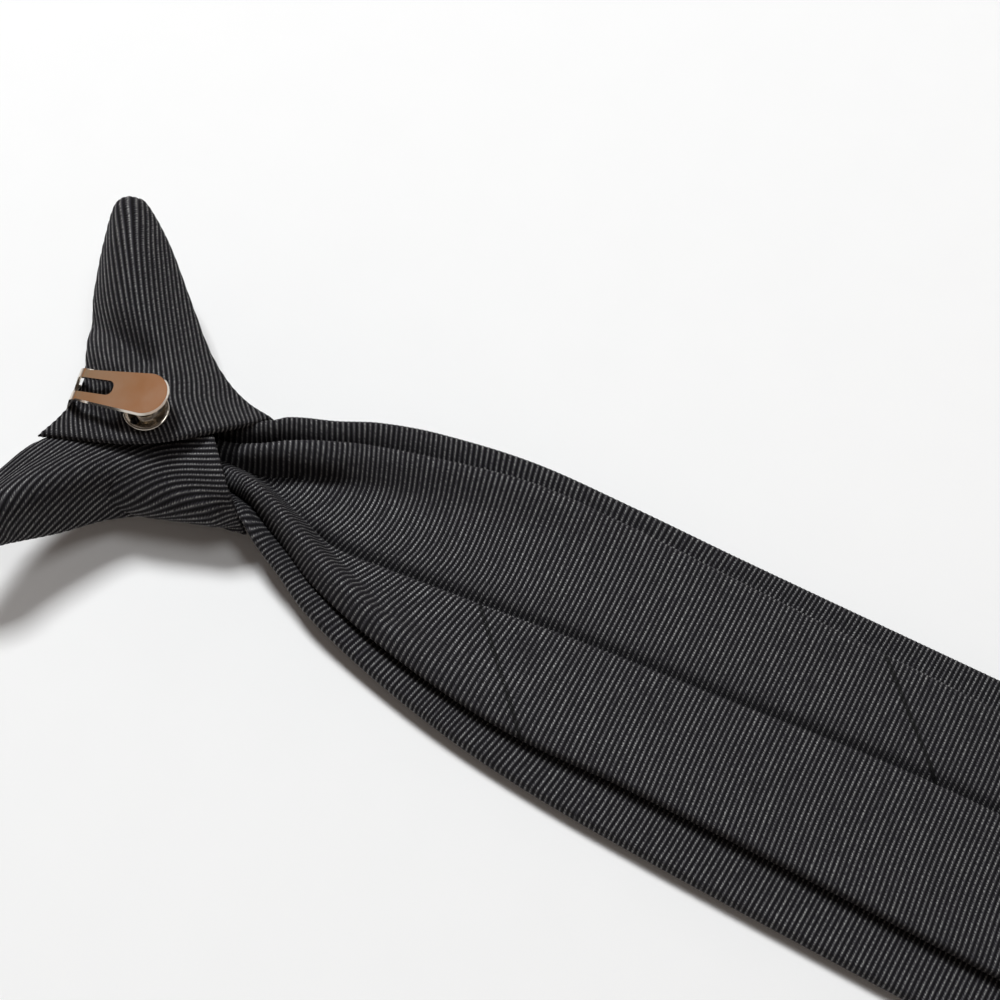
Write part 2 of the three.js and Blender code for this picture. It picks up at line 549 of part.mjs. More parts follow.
// The grip disc: a shallow cup with a boss, notched through its floor
function gripDisc() {
  const base = GRIP_BASE - CLIP_BEND[2];
  const slope = GRIP_ROUND;
  const profile = [
    [0, 0], [GRIP_RADIUS - 2 * slope, 0], [GRIP_RADIUS, 2 * slope], [GRIP_RADIUS, GRIP_RIM],
    [GRIP_RADIUS - GRIP_WALL, GRIP_RIM], [GRIP_RADIUS - GRIP_WALL - slope, GRIP_FLOOR],
    [GRIP_BOSS_RADIUS + slope, GRIP_FLOOR], [GRIP_BOSS_RADIUS - slope, GRIP_BOSS_RISE], [0, GRIP_BOSS_RISE],
  ].map(([x, y]) => new THREE.Vector2(x, y));
  const cup = new THREE.LatheGeometry(profile, ROUND_SIDES).rotateX(Math.PI / 2);
  let disc = solid(placeClip(cup.translate(GRIP_AT, GRIP_ASIDE, base)));
  const reach = GRIP_BOSS_RADIUS + GRIP_NOTCH_RADIUS + slope;
  for (let k = 0; k < GRIP_NOTCHES; k += 1) {
    const angle = Math.PI + ((k - 1) * Math.PI) / 3;
    const notch = new THREE.CylinderGeometry(GRIP_NOTCH_RADIUS, GRIP_NOTCH_RADIUS, 2 * GRIP_RIM, PIN_SIDES);
    notch.rotateX(Math.PI / 2);
    notch.translate(GRIP_AT + reach * Math.cos(angle), GRIP_ASIDE + reach * Math.sin(angle), base);
    disc = disc.subtract(solid(placeClip(notch)));
  }
  return disc;
}

function collarClip() {
  const width = CLIP_END_WIDTH + 2;
  const side = new THREE.ExtrudeGeometry(stripOutline(), { depth: width, bevelEnabled: false });
  const bent = solid(placeClip(side.translate(0, 0, -width / 2).rotateX(Math.PI / 2)));
  const tall = { depth: 2 * CLIP_TALL, bevelEnabled: false };
  const planShape = new THREE.ExtrudeGeometry(plateOutline(), tall);
  const plan = solid(placeClip(planShape.translate(0, 0, -CLIP_TALL)));
  const slotShape = new THREE.ExtrudeGeometry(roundedSlot(), tall);
  const slot = solid(placeClip(slotShape.translate(0, 0, -CLIP_SLOT_DOWN)));
  const strip = bent.intersect(plan).subtract(slot);
  const onTongue = CLIP_BEND[2] - CLIP_LEG_DOWN + CLIP_STRIP / 4;
  const post = gripPost(GRIP_POST_RADIUS, onTongue, GRIP_BASE + GRIP_FLOOR / 2);
  return geometryOf(strip.add(post).add(gripDisc()));
}

const postHole = () =>
  gripPost(GRIP_POST_RADIUS + CLEARANCE, CLIP_BEND[2] - CLIP_TALL, CLIP_BEND[2] + CLIP_TALL);

function knotWrap() {
  const cloth = solid(sleeveSkin({})).add(solid(wing(LOWER_WING_ROWS, LOWER_WING_RINGS)));
  const hollow = solid(sleeveSkin({ inside: true, overrun: SLEEVE_OVERRUN }));
  return geometryOf(cloth.subtract(hollow).subtract(postHole()).subtract(legRoom()));
}

function upperWing() {
  const panel = solid(wing(UPPER_WING_ROWS, UPPER_WING_RINGS));
  const under = solid(sleeveSkin({ margin: CLEARANCE, overrun: CLEARANCE })).add(lowerWingRoom());
  return geometryOf(panel.subtract(under).subtract(postHole()).subtract(legRoom()));
}

// The lower wing spread by the clearance, upwards and towards the upper one, which lies clear of it
function lowerWingRoom() {
  const lower = () => wing(LOWER_WING_ROWS, LOWER_WING_RINGS);
  const above = solid(lower().translate(0, 0, CLEARANCE));
  return solid(lower().translate(-CLEARANCE, CLEARANCE, 0)).add(above);
}

// Room in the cloth for the clip's leg, open towards the collar edge
function legRoom() {
  const width = CLIP_BEND_WIDTH + 2 * CLEARANCE;
  const inner = CLIP_STRIP + CLEARANCE;
  const side = new THREE.Shape([
    new THREE.Vector2(inner, 0), new THREE.Vector2(-LEG_ROOM_OUT, 0),
    new THREE.Vector2(-LEG_ROOM_OUT, -CLIP_LEG_DOWN),
    new THREE.Vector2(inner - CLIP_LEG_OUT, -CLIP_LEG_DOWN),
  ]);
  const block = new THREE.ExtrudeGeometry(side, { depth: width, bevelEnabled: false });
  return solid(placeClip(block.translate(0, 0, -width / 2).rotateX(Math.PI / 2)));
}

const ribbedCloth = { color: 0x1a1a1d, roughness: 0.75, metalness: 0 };
const nickelPlate = { color: 0xc9c2ba, roughness: 0.18, metalness: 1 };

function piece(name, geometry, finish) {
  const mesh = new THREE.Mesh(geometry, new THREE.MeshStandardMaterial(finish));
  mesh.name = name;
  return mesh;
}

const tie = new THREE.Group();
tie.add(
  piece('knot_wrap', knotWrap(), ribbedCloth),
  piece('upper_wing', upperWing(), ribbedCloth),
  piece('front_blade', frontBlade(), ribbedCloth),
  piece('tail_blade', tailBlade(), ribbedCloth),
  piece('collar_clip', collarClip(), nickelPlate),
);

// The part's origin is under the middle of its outline, on the surface it lies on
const outline = new THREE.Box3().setFromObject(tie);
const centre = outline.getCenter(new THREE.Vector3());
tie.position.set(-centre.x, -centre.y, -outline.min.z);

const group = new THREE.Group();
group.add(tie);

export default group;
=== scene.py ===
"""A pre-tied clip-on necktie of fine ribbed cloth, lying face down with its back up.

Sizes are millimetres, measured from the middle of the knot's neck, where the blades come out: x runs
towards the blades' points, y towards the upper wing and z up from the floor. Every shape is worked out
as whole arrays in those sizes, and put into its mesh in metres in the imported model's frame.
"""
import logging
import math
from dataclasses import dataclass
from enum import Enum
from typing import Any, Sequence

import bmesh
import bpy
import numpy as np
from mathutils import Matrix, Vector


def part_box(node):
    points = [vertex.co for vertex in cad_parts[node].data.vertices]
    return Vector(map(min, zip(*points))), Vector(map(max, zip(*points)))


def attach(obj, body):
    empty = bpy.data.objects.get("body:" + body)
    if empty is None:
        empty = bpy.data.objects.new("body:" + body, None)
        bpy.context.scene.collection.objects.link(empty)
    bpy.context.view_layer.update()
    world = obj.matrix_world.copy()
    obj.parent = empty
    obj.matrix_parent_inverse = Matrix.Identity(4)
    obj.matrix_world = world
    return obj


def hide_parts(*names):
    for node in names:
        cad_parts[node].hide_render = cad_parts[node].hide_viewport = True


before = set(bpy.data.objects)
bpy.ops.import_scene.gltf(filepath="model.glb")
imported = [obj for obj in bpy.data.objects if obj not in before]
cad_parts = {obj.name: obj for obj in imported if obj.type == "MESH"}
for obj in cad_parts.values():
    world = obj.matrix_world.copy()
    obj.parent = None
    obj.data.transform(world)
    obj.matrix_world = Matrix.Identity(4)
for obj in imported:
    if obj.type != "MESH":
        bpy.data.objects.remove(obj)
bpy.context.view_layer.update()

LOG = logging.getLogger("necktie")
MM = 0.001
Array = np.ndarray
Rows = Sequence[Sequence[float]]
Material = bpy.types.Material
Node = bpy.types.Node
NodeTree = bpy.types.NodeTree
Object = bpy.types.Object
Socket = bpy.types.NodeSocket


class Solid(Enum):
    """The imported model's pieces that the dressed ones stand for."""

    KNOT = "knot_wrap"
    UPPER_WING = "upper_wing"
    FRONT = "front_blade"
    TAIL = "tail_blade"
    CLIP = "collar_clip"


class Slot(Enum):
    """Names for two material slots; nothing here uses them."""

    CLOTH = "ribbed_cloth"
    NICKEL = "nickel_plate"


FRONT_END = 451.0  # the front blade's point, from the neck
TAIL_END = 402.0  # and the tail's
RIB_PITCH = 1.2  # of the blades' ribs
THREAD_PITCH = 0.62  # of the threads that cross them
RIB_SAMPLES = 4  # rows of points to a rib
STEP = 1e-3  # to both sides of a point, for the surface's slope there
TINY = 1e-6  # mm, which keeps a division away from nothing
SAME_POINT = 1e-7  # points this near are merged, m
NO_LENGTH = 1e-8  # edges this short are taken out, m
CORNERS = ((0, 0), (1, 0), (1, 1), (0, 1))  # of a face, in rows and columns
CLEAR_OF_SEAM = 50.0  # a distance from a piecing seam at which it doesn't show, mm
CLOTH_MAP = "Cloth"  # the map's name, in mm across and along the ribs
PIECING = "Piecing"  # the attribute with the distance from a piecing seam


def linear(colour: str) -> tuple[float, float, float, float]:
    """A colour's linear values.

    Args:
        colour: an sRGB hex colour such as #1a1a1d.

    Returns:
        Red, green, blue and alpha, each from 0 to 1.
    """
    parts = [int(colour[k:k + 2], 16) / 255 for k in (1, 3, 5)]
    curve = [part / 12.92 if part <= 0.04045 else ((part + 0.055) / 1.055) ** 2.4 for part in parts]
    return curve[0], curve[1], curve[2], 1.0


def smooth(values: Array, low: float, high: float) -> Array:
    """Rises from 0 at low to 1 at high in an S, three times the square less twice the cube."""
    part = np.clip((values - low) / (high - low), 0, 1)
    return part * part * (3 - 2 * part)


def unit(vectors: Array) -> Array:
    """Vectors of length 1 along the last axis."""
    return vectors / np.maximum(np.linalg.norm(vectors, axis=-1, keepdims=True), 1e-9)


def between(places: Array, values: Array, place: Array) -> Array:
    """Reads a column between its rows, by cubic curves that pass through every row.

    Each row's slope is that of the line between its two neighbours, and each stretch is the cubic with
    its ends' values and slopes.

    Args:
        places: where the rows are, rising.
        values: their values on the last axis; one list of them, or one list for each row of place.
        place: where to read.

    Returns:
        A value for each place.
    """
    slope = np.empty_like(values)
    slope[..., 1:-1] = (values[..., 2:] - values[..., :-2]) / (places[2:] - places[:-2])
    slope[..., 0] = (values[..., 1] - values[..., 0]) / (places[1] - places[0])
    slope[..., -1] = (values[..., -1] - values[..., -2]) / (places[-1] - places[-2])
    k = np.clip(np.searchsorted(places, place, side="right") - 1, 0, len(places) - 2)

    def pick(source: Array, at: Array) -> Array:
        """Values at some row numbers, from the one list or from each row's own."""
        return source[at] if source.ndim == 1 else np.take_along_axis(source, at, axis=-1)

    span = places[k + 1] - places[k]
    part = np.clip((place - places[k]) / span, 0, 1)
    first = pick(values, k)
    rise = pick(values, k + 1) - first
    start = pick(slope, k) * span
    end = pick(slope, k + 1) * span
    return first + part * (start + part * (3 * rise - 2 * start - end + part * (start + end - 2 * rise)))


class Table:
    """Named columns of sizes, read at any place between its rows."""

    def __init__(self, names: str, rows: Rows, places: Array | None = None) -> None:
        """Takes the rows.

        Args:
            names: the columns' names.
            rows: one row of sizes per place.
            places: where the rows are, or None where each row starts with its place.
        """
        grid = np.array(rows, float)
        self.places = grid[:, 0] if places is None else places
        columns = grid[:, 1:] if places is None else grid
        self.columns = dict(zip(names.split(), columns.T))

    def at(self, name: str, place: Array) -> Array:
        """One column read at some places."""
        return between(self.places, self.columns[name], place)

    def all_at(self, place: Array) -> dict[str, Array]:
        """Every column read at some places."""
        return {name: self.at(name, place) for name in self.columns}


def even_table(names: str, rows: Rows) -> Table:
    """A table whose rows are at even places from 0 to 1."""
    return Table(names, rows, np.linspace(0, 1, len(rows)))


def wing_table(rows: Rows) -> Table:
    """A wing's sizes from its tip at 0 to its base at 1."""
    names = " ".join(f"{side}_{axis}" for side in ("collar", "middle", "outer") for axis in "xyz")
    return even_table(names + " bulge half drift shoulder", rows)


# The front blade's sections, from the neck to the point. skew leans a section's far side towards the knot,
# near and far are its edges, floor is the middle of the cloth in the channel, the rises lift its edges from
# foot, a part of the half width, half is half the thickness, and lap is the step at the closing seam.
FRONT_SIZES = Table("skew near far floor near_rise far_rise foot half lap", (
    (-18, -3.6, -8.5, 7.0, 4.2, 6.5, 7.0, 0.4, 1.1, 0),
    (-8, -3.6, -9.3, 8.6, 4.0, 7.2, 8.0, 0.4, 1.0, 0),
    (0, -3.0, -11.7, 13.8, 3.4, 7.7, 9.2, 0.4, 1.0, 0),
    (3, -4.0, -14.1, 15.9, 3.0, 7.3, 9.2, 0.42, 1.1, 0),
    (7, -4.2, -16.2, 18.1, 2.6, 6.7, 9.0, 0.45, 1.25, 0),
    (13, -3.6, -18.5, 21.1, 2.0, 6.2, 8.7, 0.5, 1.5, 0),
    (22, -3.4, -22.8, 26.3, 1.8, 4.8, 7.3, 0.55, 1.75, 0),
    (36, -4.0, -27.3, 31.3, 1.8, 3.2, 5.2, 0.6, 1.75, 0),
    (58, -2.5, -31.8, 36.1, 1.8, 2.0, 3.0, 0.7, 1.75, 0.5),
    (82, 0, -34.9, 37.2, 1.8, 1.0, 2.0, 0.75, 1.75, 0.5),
    (110, 0, -36.8, 37.6, 1.8, 0.6, 1.0, 0.8, 1.75, 0.5),
    (175, 0, -38.2, 38.4, 1.8, 0.5, 0.5, 0.85, 1.75, 0.5),
    (290, 0, -39.6, 39.4, 1.8, 0.5, 0.5, 0.85, 1.75, 0.5),
    (411, 0, -40.5, 40.5, 1.8, 0.5, 0.5, 0.85, 1.75, 0.5),
    (451, 0, -40.5, 40.5, 1.8, 0.5, 0.5, 0.85, 1.75, 0.5),
))
# How far a rib of the front blade runs towards the point for each millimetre towards the far edge
FRONT_RUNS = Table("near near_roll middle far_roll far", (
    (-18, 0.0, 0.0, 0.0, 0.0, 0.0),
    (0, 0.30, 0.30, 0.0, -0.45, -0.5),
    (20, 0.30, 0.30, 0.0, -0.42, -0.45),
    (45, 0.25, 0.25, 0.0, -0.35, -0.4),
    (62, 0.20, 0.20, 0.0, -0.2, -0.2),
    (75, 0.25, 0.25, 0.0, -0.1, -0.1),
    (100, 0.12, 0.12, 0.0, 0.1, 0.1),
    (140, 0.08, 0.08, 0.0, 0.1, 0.1),
    (180, 0.05, 0.05, 0.0, 0.03, 0.03),
    (451, 0.0, 0.0, 0.0, 0.0, 0.0),
))
# The tail's sections. Its far flank rises by far_rise from valley to brow, a roll of crest_rise and spread
# runs along crest beside the near edge, and the near flap laps over the centre seam.
TAIL_SIZES = Table("skew near far valley brow floor far_rise crest crest_rise spread half seam lap", (
    (-16, -2.6, -5.0, 3.4, 0.5, 2.8, 6.6, 4.0, -3.4, 4.0, 3.0, 1.1, -0.5, 0),
    (-7, -2.6, -5.6, 4.4, -1.0, 2.6, 6.2, 4.8, -3.4, 6.0, 3.0, 1.1, -0.5, 0),
    (0, -2.4, -6.2, 7.2, 1.6, 5.6, 5.4, 7.2, -3.7, 8.3, 2.6, 1.0, -1.0, 0),
    (6, -3.0, -9.0, 11.2, 4.6, 8.4, 5.0, 7.1, -5.7, 8.0, 2.9, 1.1, -1.6, 0.2),
    (13, -3.2, -12.2, 15.0, 7.4, 11.3, 5.0, 6.4, -8.5, 6.9, 3.2, 1.3, -4.2, 0.5),
    (22, -3.2, -16.6, 19.4, 10.4, 15.2, 5.1, 4.9, -12.2, 5.4, 3.4, 1.45, -6.0, 0.8),
    (38, -4.0, -21.4, 24.4, 14.4, 22.4, 5.5, 3.2, -17.2, 3.6, 3.8, 1.5, -4.9, 0.8),
    (60, -2.0, -25.0, 30.2, 19.5, 28.1, 5.6, 1.7, -21.4, 1.8, 4.4, 1.5, -2.8, 0.8),
    (84, 0, -26.8, 31.4, 20.0, 29.1, 5.75, 0.6, -23.0, 0.7, 5.5, 1.5, -0.2, 0.8),
    (110, 0, -25.8, 31.0, 20.0, 28.8, 5.75, 0.4, -22.0, 0.5, 6.0, 1.5, 2.1, 0.8),
    (175, 0, -25.5, 30.0, 20.0, 28.0, 5.75, 0.4, -22.0, 0.5, 6.0, 1.5, 7.2, 0.8),
    (290, 0, -27.5, 29.0, 20.0, 27.2, 5.75, 0.4, -24.0, 0.5, 6.0, 1.5, 6.0, 0.8),
    (372, 0, -29.5, 29.5, 20.0, 27.6, 5.75, 0.4, -25.0, 0.5, 6.0, 1.5, 3.0, 0.8),
    (402, 0, -29.5, 29.5, 20.0, 27.6, 5.75, 0.4, -25.0, 0.5, 6.0, 1.5, 0, 0.8),
))
# The same for the tail's ribs, where flank is the roll's inner flank and inner the far flap beside its edge
TAIL_RUNS = Table("near crest flank seam middle inner far", (
    (-16, 0.0, 0.0, 0.0, 0.0, 0.0, 0.0, 0.0),
    (0, 0.30, 0.45, 0.50, 0.40, 0.10, -0.40, -0.5),
    (15, 0.30, 0.40, 0.50, 0.40, 0.10, -0.40, -0.5),
    (30, 0.25, 0.32, 0.45, 0.35, 0.02, -0.38, -0.45),
    (45, 0.18, 0.20, 0.38, 0.33, -0.06, -0.25, -0.3),
    (60, 0.05, 0.08, 0.22, 0.20, -0.08, -0.12, -0.15),
    (80, 0.0, 0.02, 0.05, 0.05, -0.03, -0.06, -0.08),
    (110, -0.05, -0.05, -0.02, 0.0, 0.0, 0.0, 0.0),
    (180, -0.06, -0.06, -0.03, 0.0, 0.0, 0.0, 0.0),
    (402, 0.0, 0.0, 0.0, 0.0, 0.0, 0.0, 0.0),
))
# A wing and its panel at even steps from the tip: the visible surface's collar edge, middle and outer edge,
# x, y and z of each, its bulge between the last two, half the padding, how far the ribs shift towards the
# outer edge, and how far the collar edge rounds off
UPPER_WING_SIZES = wing_table((
    (-62.9, 43.6, 25.0, -60.6, 44.6, 27.0, -58.2, 45.8, 25.0, 0, 1.8, 0, 0),
    (-63.1, 40.6, 23.5, -58.8, 41.9, 27.7, -55.0, 44.4, 23.5, 0, 2.3, 0, 2.5),
    (-62.6, 36.2, 22.5, -56.2, 38.2, 27.8, -51.4, 42.3, 21.5, 0, 2.4, 0, 5.0),
    (-60.7, 29.0, 21.8, -52.0, 32.2, 27.2, -45.3, 38.0, 20.0, 0, 2.4, 0, 7.0),
    (-55.6, 16.8, 21.5, -44.6, 22.3, 25.6, -35.6, 29.9, 17.5, 0.2, 2.1, 0, 6.5),
    (-48.8, 4.9, 22.0, -36.6, 12.6, 23.8, -25.4, 21.5, 16.0, 0.6, 1.6, 0, 4.0),
    (-45.0, -3.7, 21.5, -30.4, 5.2, 22.9, -17.5, 16.8, 15.0, 1.2, 1.3, 0, 1.5),
    (-45.2, -11.4, 21.2, -26.6, 0.0, 22.6, -10.5, 14.6, 13.5, 1.7, 1.1, 0, 0.5),
    (-47.1, -18.3, 20.8, -19.2, -6.6, 22.2, -3.6, 14.2, 12.5, 1.9, 1.1, 0, 0),
))
LOWER_WING_SIZES = wing_table((
    (-52.8, -49.0, 21.0, -51.2, -49.8, 22.0, -50.0, -50.2, 21.0, 0, 1.6, 0, 0),
    (-52.3, -43.6, 21.0, -49.2, -46.4, 22.5, -47.7, -48.6, 18.5, 0.8, 2.3, 0, 0),
    (-51.5, -36.0, 20.8, -46.6, -41.3, 22.5, -43.3, -44.2, 15.5, 1.9, 2.6, 0, 0),
    (-50.2, -29.1, 20.5, -44.6, -36.5, 21.8, -41.1, -40.6, 13.0, 2.3, 2.6, 0, 0),
    (-47.0, -18.8, 19.6, -39.6, -27.8, 20.5, -34.8, -33.4, 9.5, 2.4, 2.2, 1, 0),
    (-37.5, -9.5, 19.4, -30.6, -18.6, 18.8, -25.8, -23.6, 7.0, 1.2, 1.5, 7, 0),
    (-25.5, -3.5, 19.3, -16.8, -12.0, 17.7, -12.8, -15.8, 6.0, 0.3, 1.0, 15, 0),
    (-11.2, 1.3, 19.4, -1.2, -8.6, 17.0, 3.4, -11.7, 4.0, 0.3, 0.7, 19, 0),
))
# The sleeve at even steps from the collar edge to the neck: near and far end of its widest line, bottom,
# top, squareness of its section, wall, and the share of the rim's cut that it follows
SLEEVE_SIZES = even_table("near_x near_y far_x far_y bottom top power wall notch", (
    (-43.2, -21.8, -47.6, 17.3, -0.4, 18.0, 2.8, 2.2, 0),
    (-34.4, -20.6, -39.5, 17.0, -0.3, 18.6, 2.6, 2.2, 0),
    (-21.5, -18.6, -28.5, 16.2, 0.0, 19.1, 2.4, 2.2, 0.17),
    (-9.5, -15.4, -17.0, 14.8, 0.6, 18.5, 2.2, 1.9, 0.52),
    (2.4, -12.0, -4.1, 12.9, 1.2, 17.8, 2.0, 1.2, 1.0),
))


def rolled_half(distance: Array, roll: Array, half: Array, reach: float = 4.0) -> Array:
    """Half the cloth's thickness at a distance from its edge.

    A quarter circle of the roll's radius from the edge, then an S down to the cloth's own half
    thickness at reach times the radius.

    Args:
        distance: from the edge, mm.
        roll: the rolled edge's radius.
        half: half the cloth's own thickness.
        reach: where the roll has settled, in radii.

    Returns:
        Half the thickness at each distance.
    """
    inside = np.clip(distance / np.maximum(roll, TINY), 0, 1)
    round_edge = roll * np.sqrt(1 - (1 - inside) ** 2)
    settled = smooth((distance - roll) / np.maximum((reach - 1) * roll, TINY), 0, 1)
    return np.where(inside < 1, round_edge, half + (roll - half) * (1 - settled))


def over_and_back(top: Array, under: Array) -> Array:
    """Rows that run across the top and back along the underside, which has the same two edges."""
    return np.concatenate([top, under[:, -2:0:-1]], axis=1)


@dataclass(frozen=True)
class Fold:
    """A soft trough or ridge along a straight line in plan, as pressed or drawn into cloth."""

    start: tuple[float, float]
    end: tuple[float, float]
    height: float  # below nothing for a trough
    width: float

    def lift(self, x: Array, y: Array) -> Array:
        """The fold's height: a bell across the line, faded out beyond its ends.

        Args:
            x: along the tie.
            y: across it.

        Returns:
            The height at each point.
        """
        a, b = np.array(self.start), np.array(self.end)
        length = np.linalg.norm(b - a)
        way = (b - a) / length
        along = (x - a[0]) * way[0] + (y - a[1]) * way[1]
        beyond = np.maximum(-along, along - length)
        across = (y - a[1]) * way[0] - (x - a[0]) * way[1]
        return self.height * np.exp(-(across / self.width) ** 2 - (np.maximum(beyond, 0) / self.width) ** 2)


def neck_origin() -> Array:
    """The neck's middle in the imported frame, from the front blade's point and its two sides, in metres."""
    low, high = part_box(Solid.FRONT.value)
    return np.array([high.x - FRONT_END * MM, (low.y + high.y) / 2, 0.0])


def make_object(name: str, points: Array, faces: Array, uv: Array | None = None,
                attribute: Array | None = None) -> Object:
    """Puts a mesh into the scene, smooth, merged and facing outwards.

    Args:
        name: the piece's name.
        points: its points in millimetres from the neck.
        faces: four point numbers for each face.
        uv: a pair of millimetres for each corner of each face, across and along the ribs.
        attribute: a value for each point, the distance from a piecing seam.

    Returns:
        The new object.
    """
    mesh = bpy.data.meshes.new(name)
    mesh.from_pydata((points * MM + neck_origin()).tolist(), [], faces.tolist())
    if uv is not None:
        mesh.uv_layers.new(name=CLOTH_MAP).data.foreach_set("uv", uv.ravel())
    if attribute is not None:
        mesh.attributes.new(PIECING, "FLOAT", "POINT").data.foreach_set("value", attribute.ravel())
    work = bmesh.new()
    work.from_mesh(mesh)
    bmesh.ops.remove_doubles(work, verts=work.verts, dist=SAME_POINT)
    bmesh.ops.dissolve_degenerate(work, edges=work.edges, dist=NO_LENGTH)
    bmesh.ops.recalc_face_normals(work, faces=work.faces)
    work.to_mesh(mesh)
    work.free()
    mesh.polygons.foreach_set("use_smooth", [True] * len(mesh.polygons))
    piece = bpy.data.objects.new(name, mesh)
    bpy.context.scene.collection.objects.link(piece)
    return piece


def round_edges(piece: Object, width: float, segments: int, angle: float) -> None:
    """Rounds a piece's sharp edges with a modifier.

    Args:
        piece: the object.
        width: of the rounding, mm.
        segments: how many faces go round it.
        angle: between two faces, in degrees, from which their edge is rounded.
    """
    edge = piece.modifiers.new("edge", "BEVEL")
    edge.width = width * MM
    edge.segments = segments
    edge.limit_method = "ANGLE"
    edge.angle_limit = math.radians(angle)
    edge.harden_normals = True


def evaluated(piece: Object) -> Object:
    """A piece as its modifiers leave it."""
    bpy.context.view_layer.update()
    return piece.evaluated_get(bpy.context.evaluated_depsgraph_get())


def loop_faces(rows: int, around: int, closed: bool = False) -> tuple[Array, Array]:
    """Faces of a grid whose rows are closed loops.

    Args:
        rows: how many loops.
        around: points on each.
        closed: whether the last loop joins the first.

    Returns:
        Point numbers of each face, and of its corners in a grid with one more column, and with one more
        row where it is closed, for the map.
    """
    i, j = np.meshgrid(np.arange(rows if closed else rows - 1), np.arange(around), indexing="ij")
    i, j = i.ravel(), j.ravel()
    faces = np.stack([((i + a) % rows) * around + (j + b) % around for a, b in CORNERS], axis=1)
    corners = np.stack([(i + a) * (around + 1) + j + b for a, b in CORNERS], axis=1)
    return faces, corners


def rib_relief(loops: Array, phase: Array, height: Array) -> Array:
    """Raises ribs on a grid of closed loops.

    Each point moves along the surface's normal, the product of the steps to its neighbours, by the
    height times the cosine of its phase.

    Args:
        loops: the smooth surface, a row of points per loop.
        phase: how many ribs lie before each point.
        height: of the ribs at each point.

    Returns:
        The ribbed surface.
    """
    around = np.roll(loops, -1, axis=1) - np.roll(loops, 1, axis=1)
    along = np.gradient(loops, axis=0)
    normal = unit(np.cross(along, around))
    return loops + normal * (height * np.cos(2 * np.pi * phase))[..., None]


def loop_length(loops: Array) -> Array:
    """The way round each loop to each of its points, and to its start again, as one more column."""
    steps = np.linalg.norm(np.roll(loops, -1, axis=1) - loops, axis=2)
    return np.concatenate([np.zeros((len(loops), 1)), np.cumsum(steps, axis=1)], axis=1)


def add_node(tree: NodeTree, kind: str, inputs: dict[int | str, Any] | Sequence[Any] = (),
             **settings: Any) -> Node:
    """Adds a node with its settings and links.

    Args:
        tree: the material's or world's node tree.
        kind: the node's type, without its ShaderNode.
        inputs: each socket's value or the output that feeds it, in order, or by the socket's name or number.
        settings: the node's own options.

    Returns:
        The new node.
    """
    node = tree.nodes.new("ShaderNode" + kind)
    for name, value in settings.items():
        setattr(node, name, value)
    for socket, value in inputs.items() if isinstance(inputs, dict) else enumerate(inputs):
        if isinstance(value, Socket):
            tree.links.new(value, node.inputs[socket])
        else:
            node.inputs[socket].default_value = value
    return node


def new_material(name: str) -> tuple[Material, NodeTree, Node]:
    """An empty material with its output.

    Args:
        name: what the real material is called.

    Returns:
        The material, its node tree and the output node.
    """
    material = bpy.data.materials.new(name)
    material.use_nodes = True
    material.node_tree.nodes.clear()
    output = add_node(material.node_tree, "OutputMaterial")
    return material, material.node_tree, output


@dataclass(frozen=True)
class Unevenness:
    """Noise drawn out along the ribs, and the factor that it becomes."""

    along: float  # its scale along a rib, per mm
    across: float
    detail: float
    low: float  # the noise that gives the least factor
    high: float  # and the one that gives the most
    least: float
    most: float


